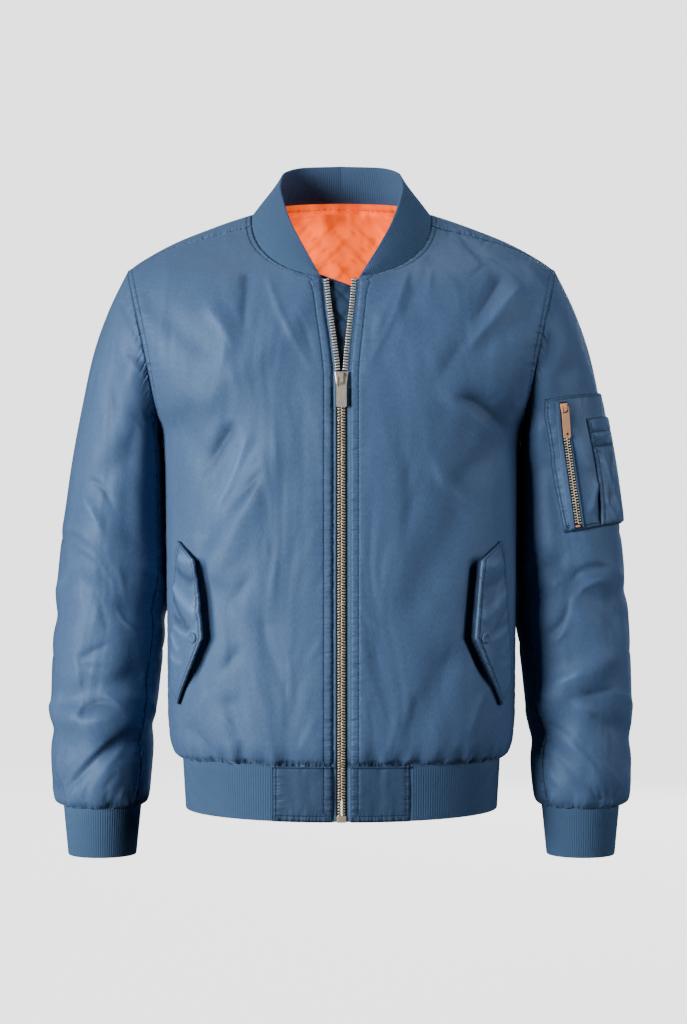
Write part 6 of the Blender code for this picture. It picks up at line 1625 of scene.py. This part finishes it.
def knit_look(name, colour):
    look, tree, shader = shader_of(name)
    place = node(tree, "ShaderNodeTexCoord", {}).outputs
    use_effect(tree, shader, "Rib knit", colour, 0.8, 0.00025,
               {"Place": place["Object"], "Cloth": place["UV"]})
    fill(tree, shader, {"Roughness": 0.85, "Specular IOR Level": 0.25, "Sheen Weight": 0.12,
                        "Sheen Roughness": 0.5, "Sheen Tint": (*COOL, 1.0)})
    return look


METAL_GLOSS = 0.36
METAL_SHARE = {"silver": 0.80, "bronze": 0.90, "nickel": 0.90, "rose": 0.45}


def metal_look(name, colour, metallic):
    look, tree, shader = shader_of(name)
    place = node(tree, "ShaderNodeTexCoord", {}).outputs["Object"]
    use_effect(tree, shader, "Handled metal", colour, 0.3, 0.00004, {"Place": place, "Gloss": METAL_GLOSS})
    fill(tree, shader, {"Metallic": metallic})
    return look


SATINS = {          # colour, then what differs from plain shell satin
    "shell satin": ("shell", {}),
    # lining satin glows with painted light, and its creases take painted shade and highlight
    "lining satin": ("lining", dict(gloss=0.45, glow=(1.0, 0.30, 0.05), specular=0.05, sheen=0.0,
                                    painted_glow=1.65, depth=-560.0)),
    # flap satin paints stronger shade and highlight on its creases
    "flap satin": ("shell", dict(gloss=0.42, specular=0.45, depth=240.0, pucker=1.6)),
    # the tab satin is the shell satin darkened to 0.55: painted shade
    "tab satin": ("shell", dict(shade=0.55)),
    # wind flap satin paints still stronger shade and highlight on its creases
    "wind flap satin": ("flap", dict(gloss=0.50, depth=380.0)),
    "sewing thread": ("thread", dict(gloss=0.45, wrinkle=0.0001)),
    "zip tape": ("tape", dict(gloss=0.75, sheen=0.1, wrinkle=0.0003, shadow=0.0046)),
    "sleeve zip tape": ("shell", dict(gloss=0.60, sheen=0.1, wrinkle=0.0003, shadow=0.0036)),
}


def look_of(name):
    """The finish of a name, made at its first use."""
    if name in bpy.data.materials:
        return bpy.data.materials[name]
    colours = bpy.context.scene.jacket_colours
    if name in SATINS:
        colour, settings = SATINS[name]
        return satin_look(name, getattr(colours, colour), **{"gloss": colours.shell_gloss, **settings})
    if name == "rib knit":
        return knit_look(name, colours.knit)
    metal = name.split()[0]
    return metal_look(name, getattr(colours, metal), METAL_SHARE[metal])


# ---- Light, floor and camera ---------------------------------------------------------------------
SWEEP_REACH, SWEEP_BEND, SWEEP_TOP = 6.5, 1.4, 5.0
JACKET_SHADE = 0.28         # the paper glows less this close to the middle: a painted shadow under the jacket
LAMP_AIM = Vector((0, 0, -0.35))
LAMPS = (                   # name, place, size, colour
    ("key", (-2.3, -1.8, 0.0), (1.3, 1.3), (1.0, 0.99, 0.97)),
    ("fill", (2.9, -0.9, 0.4), (1.8, 1.8), (0.95, 0.97, 1.0)),
    ("top", (0.2, 0.3, 2.2), (1.6, 1.2), (1.0, 1.0, 1.0)),
    ("back", (0.9, 2.6, 0.3), (2.0, 1.6), (1.0, 1.0, 1.0)),
)


def make_sweep(stage):
    """Pale paper all round: a floor that bends up into a wall, turned about the middle."""
    bm = bmesh.new()
    profile = [(SWEEP_REACH * share, 0.0) for share in (0.1, 0.4, 0.7, 1.0)]
    profile += [(SWEEP_REACH + SWEEP_BEND * sin(a), SWEEP_BEND - SWEEP_BEND * cos(a))
                for a in np.linspace(0, pi / 2, 17)[1:]]
    profile += [(SWEEP_REACH + SWEEP_BEND, SWEEP_TOP)]
    verts = [bm.verts.new((r, 0.0, z + stage.floor_height)) for r, z in profile]
    edges = [bm.edges.new(pair) for pair in zip(verts, verts[1:])]
    bmesh.ops.spin(bm, geom=verts + edges, cent=(0, 0, 0), axis=(0, 0, 1), angle=2 * pi, steps=64,
                   use_merge=True, use_duplicate=False)
    bmesh.ops.holes_fill(bm, edges=[edge for edge in bm.edges if edge.is_boundary], sides=0)
    bmesh.ops.recalc_face_normals(bm, faces=bm.faces)
    mesh = bpy.data.meshes.new("studio_sweep")
    bm.to_mesh(mesh)
    bm.free()
    mesh.shade_smooth()
    look, tree, shader = shader_of("studio paper")
    place = node(tree, "ShaderNodeTexCoord", {}).outputs["Object"]
    tone = node(tree, "ShaderNodeMix", {0: noise(tree, place, 2.0), 6: (0.28, 0.28, 0.28, 1),
                                        7: (0.30, 0.30, 0.30, 1)}, data_type="RGBA")
    level = node(tree, "ShaderNodeVectorMath", {0: place, 1: (1.0, 1.0, 0.0)}, operation="MULTIPLY")
    out = node(tree, "ShaderNodeVectorMath", {0: level.outputs[0]}, operation="LENGTH").outputs["Value"]
    # the paper's glow fades towards the middle as a painted shadow under the jacket
    fill(tree, shader, {"Base Color": tone.outputs[2], "Roughness": 1.0, "Specular IOR Level": 0.0,
                        "Emission Color": range_of(tree, out, 0.0, JACKET_SHADE, 0.75, 1.0),
                        "Emission Strength": stage.paper_glow})
    mesh.materials.append(look)
    sweep = bpy.data.objects.new("studio_sweep", mesh)
    bpy.context.scene.collection.objects.link(sweep)
    sweep.visible_glossy = False
    sweep.visible_diffuse = False


def make_stage(stage):
    """A pale studio sweep, soft lights and the camera."""
    make_sweep(stage)
    scene = bpy.context.scene
    world = bpy.data.worlds.new("studio air")
    world.use_nodes = True
    fill(world.node_tree, world.node_tree.nodes["Background"],
         {"Color": (0.93, 0.96, 1.0, 1.0), "Strength": stage.air})
    scene.world = world
    for name, place, size, colour in LAMPS:
        lamp = bpy.data.lights.new(f"{name}_softbox", "AREA")
        lamp.shape = "RECTANGLE"
        lamp.size, lamp.size_y = size
        lamp.energy = getattr(stage, name)
        lamp.color = colour
        holder = bpy.data.objects.new(f"{name}_softbox", lamp)
        holder.location = place
        holder.visible_camera = False
        holder.visible_glossy = name != "back"
        holder.rotation_euler = (LAMP_AIM - Vector(place)).to_track_quat("-Z", "Y").to_euler()
        scene.collection.objects.link(holder)
    lens = bpy.data.cameras.new("camera")
    lens.lens = 85.0
    lens.sensor_width = 36.0
    lens.sensor_fit = "AUTO"
    lens.shift_x = 0.002
    camera = bpy.data.objects.new("camera", lens)
    camera.location = (0.0, -2.66, -0.3256)
    camera.rotation_euler = (pi / 2, 0.0, 0.0)
    scene.collection.objects.link(camera)
    scene.camera = camera


# ---- Settings, operators and panel ---------------------------------------------------------------
def colour_setting(name, description, default):
    return FloatVectorProperty(name=name, description=description, default=default, subtype="COLOR", min=0.0,
                               max=1.0)


def power_setting(name, description, default):
    return FloatProperty(name=name, description=description, default=default, min=0.0, unit="POWER")


class JacketColours(bpy.types.PropertyGroup):
    """Colours and gloss of the jacket's materials."""
    shell: colour_setting("Shell", "Satin of the outside", (0.062, 0.112, 0.222))
    shell_gloss: FloatProperty(name="Shell gloss", description="Roughness of the shell satin", default=0.47,
                               min=0.0, max=1.0, subtype="FACTOR")
    knit: colour_setting("Knit", "Collar, cuffs and hem", (0.043, 0.090, 0.180))
    lining: colour_setting("Lining", "Satin of the inside", (0.800, 0.070, 0.000))
    flap: colour_setting("Wind flap", "Strip behind the zip", (0.040, 0.075, 0.150))
    thread: colour_setting("Thread", "Sewing thread", (0.055, 0.115, 0.210))
    tape: colour_setting("Tape", "Woven zip tape", (0.095, 0.180, 0.330))
    silver: colour_setting("Silver", "Open teeth", (0.80, 0.79, 0.77))
    bronze: colour_setting("Bronze", "Closed chain and its stop", (0.86, 0.74, 0.56))
    nickel: colour_setting("Nickel", "Main slider and its pull", (0.80, 0.74, 0.66))
    rose: colour_setting("Rose", "Sleeve slider and its pull", (0.95, 0.50, 0.28))


class JacketStage(bpy.types.PropertyGroup):
    """Light and floor."""
    floor_height: FloatProperty(name="Floor", description="Height of the floor", default=-0.95,
                                unit="LENGTH")
    paper_glow: FloatProperty(name="Paper glow", description="Own light of the sweep", default=2.47,
                              min=0.0)
    air: FloatProperty(name="Air", description="Even light from all round", default=0.02, min=0.0)
    key: power_setting("Key", "Key softbox", 168.0)
    fill: power_setting("Fill", "Fill softbox", 52.0)
    top: power_setting("Top", "Top softbox", 18.0)
    back: power_setting("Back", "Softbox behind", 80.0)


SIDES = ((1, "left"), (-1, "right"))


class SewBody(bpy.types.Operator):
    """Sew the fronts and the back"""
    bl_idname = "jacket.sew_body"
    bl_label = "Fronts and back"

    def execute(self, context):
        satin, sewing = look_of("shell satin"), look_of("sewing thread")
        lines = []
        rows = even_rows("hem seam", "shoulder seam", FRONT_STEP)
        for side, word in SIDES:
            name = f"front_{word}"
            make_front(side, word, satin)
            lines.append(seam_line(name, 0, np.where(rows <= AT["front neck"], FRONT_STITCH, NECK_STITCH)))
            on_arm = int(np.sum(rows < AT["underarm"]))
            lines.append(seam_line(name, 0, ARM_STITCH, from_end=True, start=on_arm))
        make_back(satin)
        rows = even_rows("shoulder seam", "back hem seam", BACK_STEP)
        for part in (0, 1):
            lines.append(seam_line("back", part, NECK_STITCH, stop=int(np.sum(rows < AT["back neck"])) + 1))
            lines.append(seam_line("back", part, ARM_STITCH, from_end=True,
                                   stop=int(np.sum(rows < AT["back underarm"]))))
        thread("body_stitching", lines, sewing)
        return {"FINISHED"}


class SewSleeves(bpy.types.Operator):
    """Sew both sleeves from their upper and under panels"""
    bl_idname = "jacket.sew_sleeves"
    bl_label = "Sleeves"

    def execute(self, context):
        for side, word in SIDES:
            for upper in (True, False):
                make_sleeve(side, word, upper, look_of("shell satin"))
        return {"FINISHED"}


class KnitBands(bpy.types.Operator):
    """Knit the collar, the cuffs and the hem"""
    bl_idname = "jacket.knit_bands"
    bl_label = "Collar, cuffs and hem"

    def execute(self, context):
        knit = look_of("rib knit")
        make_collar(knit)
        make_hem(knit)
        for side, word in SIDES:
            make_cuff(side, word, knit)
        return {"FINISHED"}


class SewTabs(bpy.types.Operator):
    """Sew the woven ends of the hem beside the zip"""
    bl_idname = "jacket.sew_tabs"
    bl_label = "Hem tabs"

    def execute(self, context):
        lines = []
        for side, word in SIDES:
            name = f"hem_tab_{word}"
            make_tab(side, word, look_of("tab satin"))
            lines += [seam_line(name, 0, TAB_ZIP_STITCH), seam_line(name, 0, TAB_END_STITCH, from_end=True),
                      seam_line(name, 0, TAB_LOW_STITCH, from_end=True, along_rows=False)]
        thread("tab_stitching", lines, look_of("sewing thread"))
        return {"FINISHED"}


class SewLining(bpy.types.Operator):
    """Sew the orange lining with its gathered neck band"""
    bl_idname = "jacket.sew_lining"
    bl_label = "Lining"

    def execute(self, context):
        orange = look_of("lining satin")
        make_lining_back(orange)
        make_neck_band(orange)
        for side, word in SIDES:
            make_lining_front(side, word, orange)
        return {"FINISHED"}


class SewWindFlap(bpy.types.Operator):
    """Sew the strip behind the zip"""
    bl_idname = "jacket.sew_wind_flap"
    bl_label = "Wind flap"

    def execute(self, context):
        make_wind_flap(look_of("wind flap satin"))
        return {"FINISHED"}


class FitMainZip(bpy.types.Operator):
    """Fit the main zip's tapes, open teeth and closed chain"""
    bl_idname = "jacket.fit_main_zip"
    bl_label = "Main zip"

    def execute(self, context):
        for side, word in SIDES:
            make_tape(side, word, look_of("zip tape"))
            make_open_teeth(side, word, look_of("silver metal"))
        make_chain(look_of("bronze metal"))
        return {"FINISHED"}


class SewHandPockets(bpy.types.Operator):
    """Sew the slanted pockets' flaps and set their snaps"""
    bl_idname = "jacket.sew_hand_pockets"
    bl_label = "Hand pockets"

    def execute(self, context):
        lines = []
        for side, word in SIDES:
            name = f"pocket_flap_{word}"
            make_flap(side, word, look_of("flap satin"))
            lines += [seam_line(name, 0, FLAP_STITCH), seam_line(name, 0, FLAP_STITCH, from_end=True)]
            make_snap(side, word, look_of("shell satin"))
        thread("flap_stitching", lines, look_of("sewing thread"))
        return {"FINISHED"}


class SewSleevePocket(bpy.types.Operator):
    """Sew the left sleeve's pocket with its pen pocket and its zip"""
    bl_idname = "jacket.sew_sleeve_pocket"
    bl_label = "Sleeve pocket"

    def execute(self, context):
        make_sleeve_pocket(look_of("flap satin"))
        make_sleeve_zip(look_of("sleeve zip tape"), look_of("bronze metal"))
        lines = []
        for name in ("sleeve_pocket", "pen_pocket"):
            lines.append(seam_line(name, 0, POCKET_STITCH))
        for distance in PEN_LINES:
            lines.append(seam_line("pen_pocket", 0, distance, along_rows=False))
        lines.append(seam_line("sleeve_pocket", 0, POCKET_STITCH, from_end=True, along_rows=False))
        thread("sleeve_pocket_stitching", lines, look_of("sewing thread"))
        return {"FINISHED"}


METAL_NODES = {
    "zip_slider": "nickel metal", "zip_pull": "nickel metal", "zip_stop": "bronze metal",
    "sleeve_zip_slider": "rose metal", "sleeve_zip_pull": "rose metal", "sleeve_zip_stop": "rose metal",
}


class FinishMetal(bpy.types.Operator):
    """Give the sliders, pulls and stops their metal"""
    bl_idname = "jacket.finish_metal"
    bl_label = "Sliders, pulls and stops"

    def execute(self, context):
        for name, look in METAL_NODES.items():
            for slot in bpy.data.objects[name].material_slots:
                slot.material = look_of(look)
        return {"FINISHED"}


class SetStage(bpy.types.Operator):
    """Set the floor, the lights and the camera"""
    bl_idname = "jacket.set_stage"
    bl_label = "Floor, light and camera"

    def execute(self, context):
        make_stage(context.scene.jacket_stage)
        return {"FINISHED"}


MAKERS = (SewBody, SewSleeves, KnitBands, SewTabs, SewLining, SewWindFlap, FitMainZip, SewHandPockets,
          SewSleevePocket, FinishMetal, SetStage)


class JacketPanel(bpy.types.Panel):
    """Sizes, colours and makers of the jacket"""
    bl_idname = "VIEW3D_PT_jacket"
    bl_label = "Bomber jacket"
    bl_space_type = "VIEW_3D"
    bl_region_type = "UI"
    bl_category = "Jacket"

    def draw(self, context):
        for group_name in ("jacket_colours", "jacket_stage"):
            settings = getattr(context.scene, group_name)
            box = self.layout.box()
            for key in settings.__annotations__:
                box.prop(settings, key)
        for maker in MAKERS:
            self.layout.operator(maker.bl_idname)


CLASSES = (JacketColours, JacketStage, *MAKERS, JacketPanel)


def register():
    for one in CLASSES:
        bpy.utils.register_class(one)
    bpy.types.Scene.jacket_colours = PointerProperty(type=JacketColours)
    bpy.types.Scene.jacket_stage = PointerProperty(type=JacketStage)


def unregister():
    del bpy.types.Scene.jacket_stage
    del bpy.types.Scene.jacket_colours
    for one in reversed(CLASSES):
        bpy.utils.unregister_class(one)


def main():
    register()
    for maker in MAKERS:
        family, action = maker.bl_idname.split(".")
        getattr(getattr(bpy.ops, family), action)()


if __name__ == "__main__":
    main()
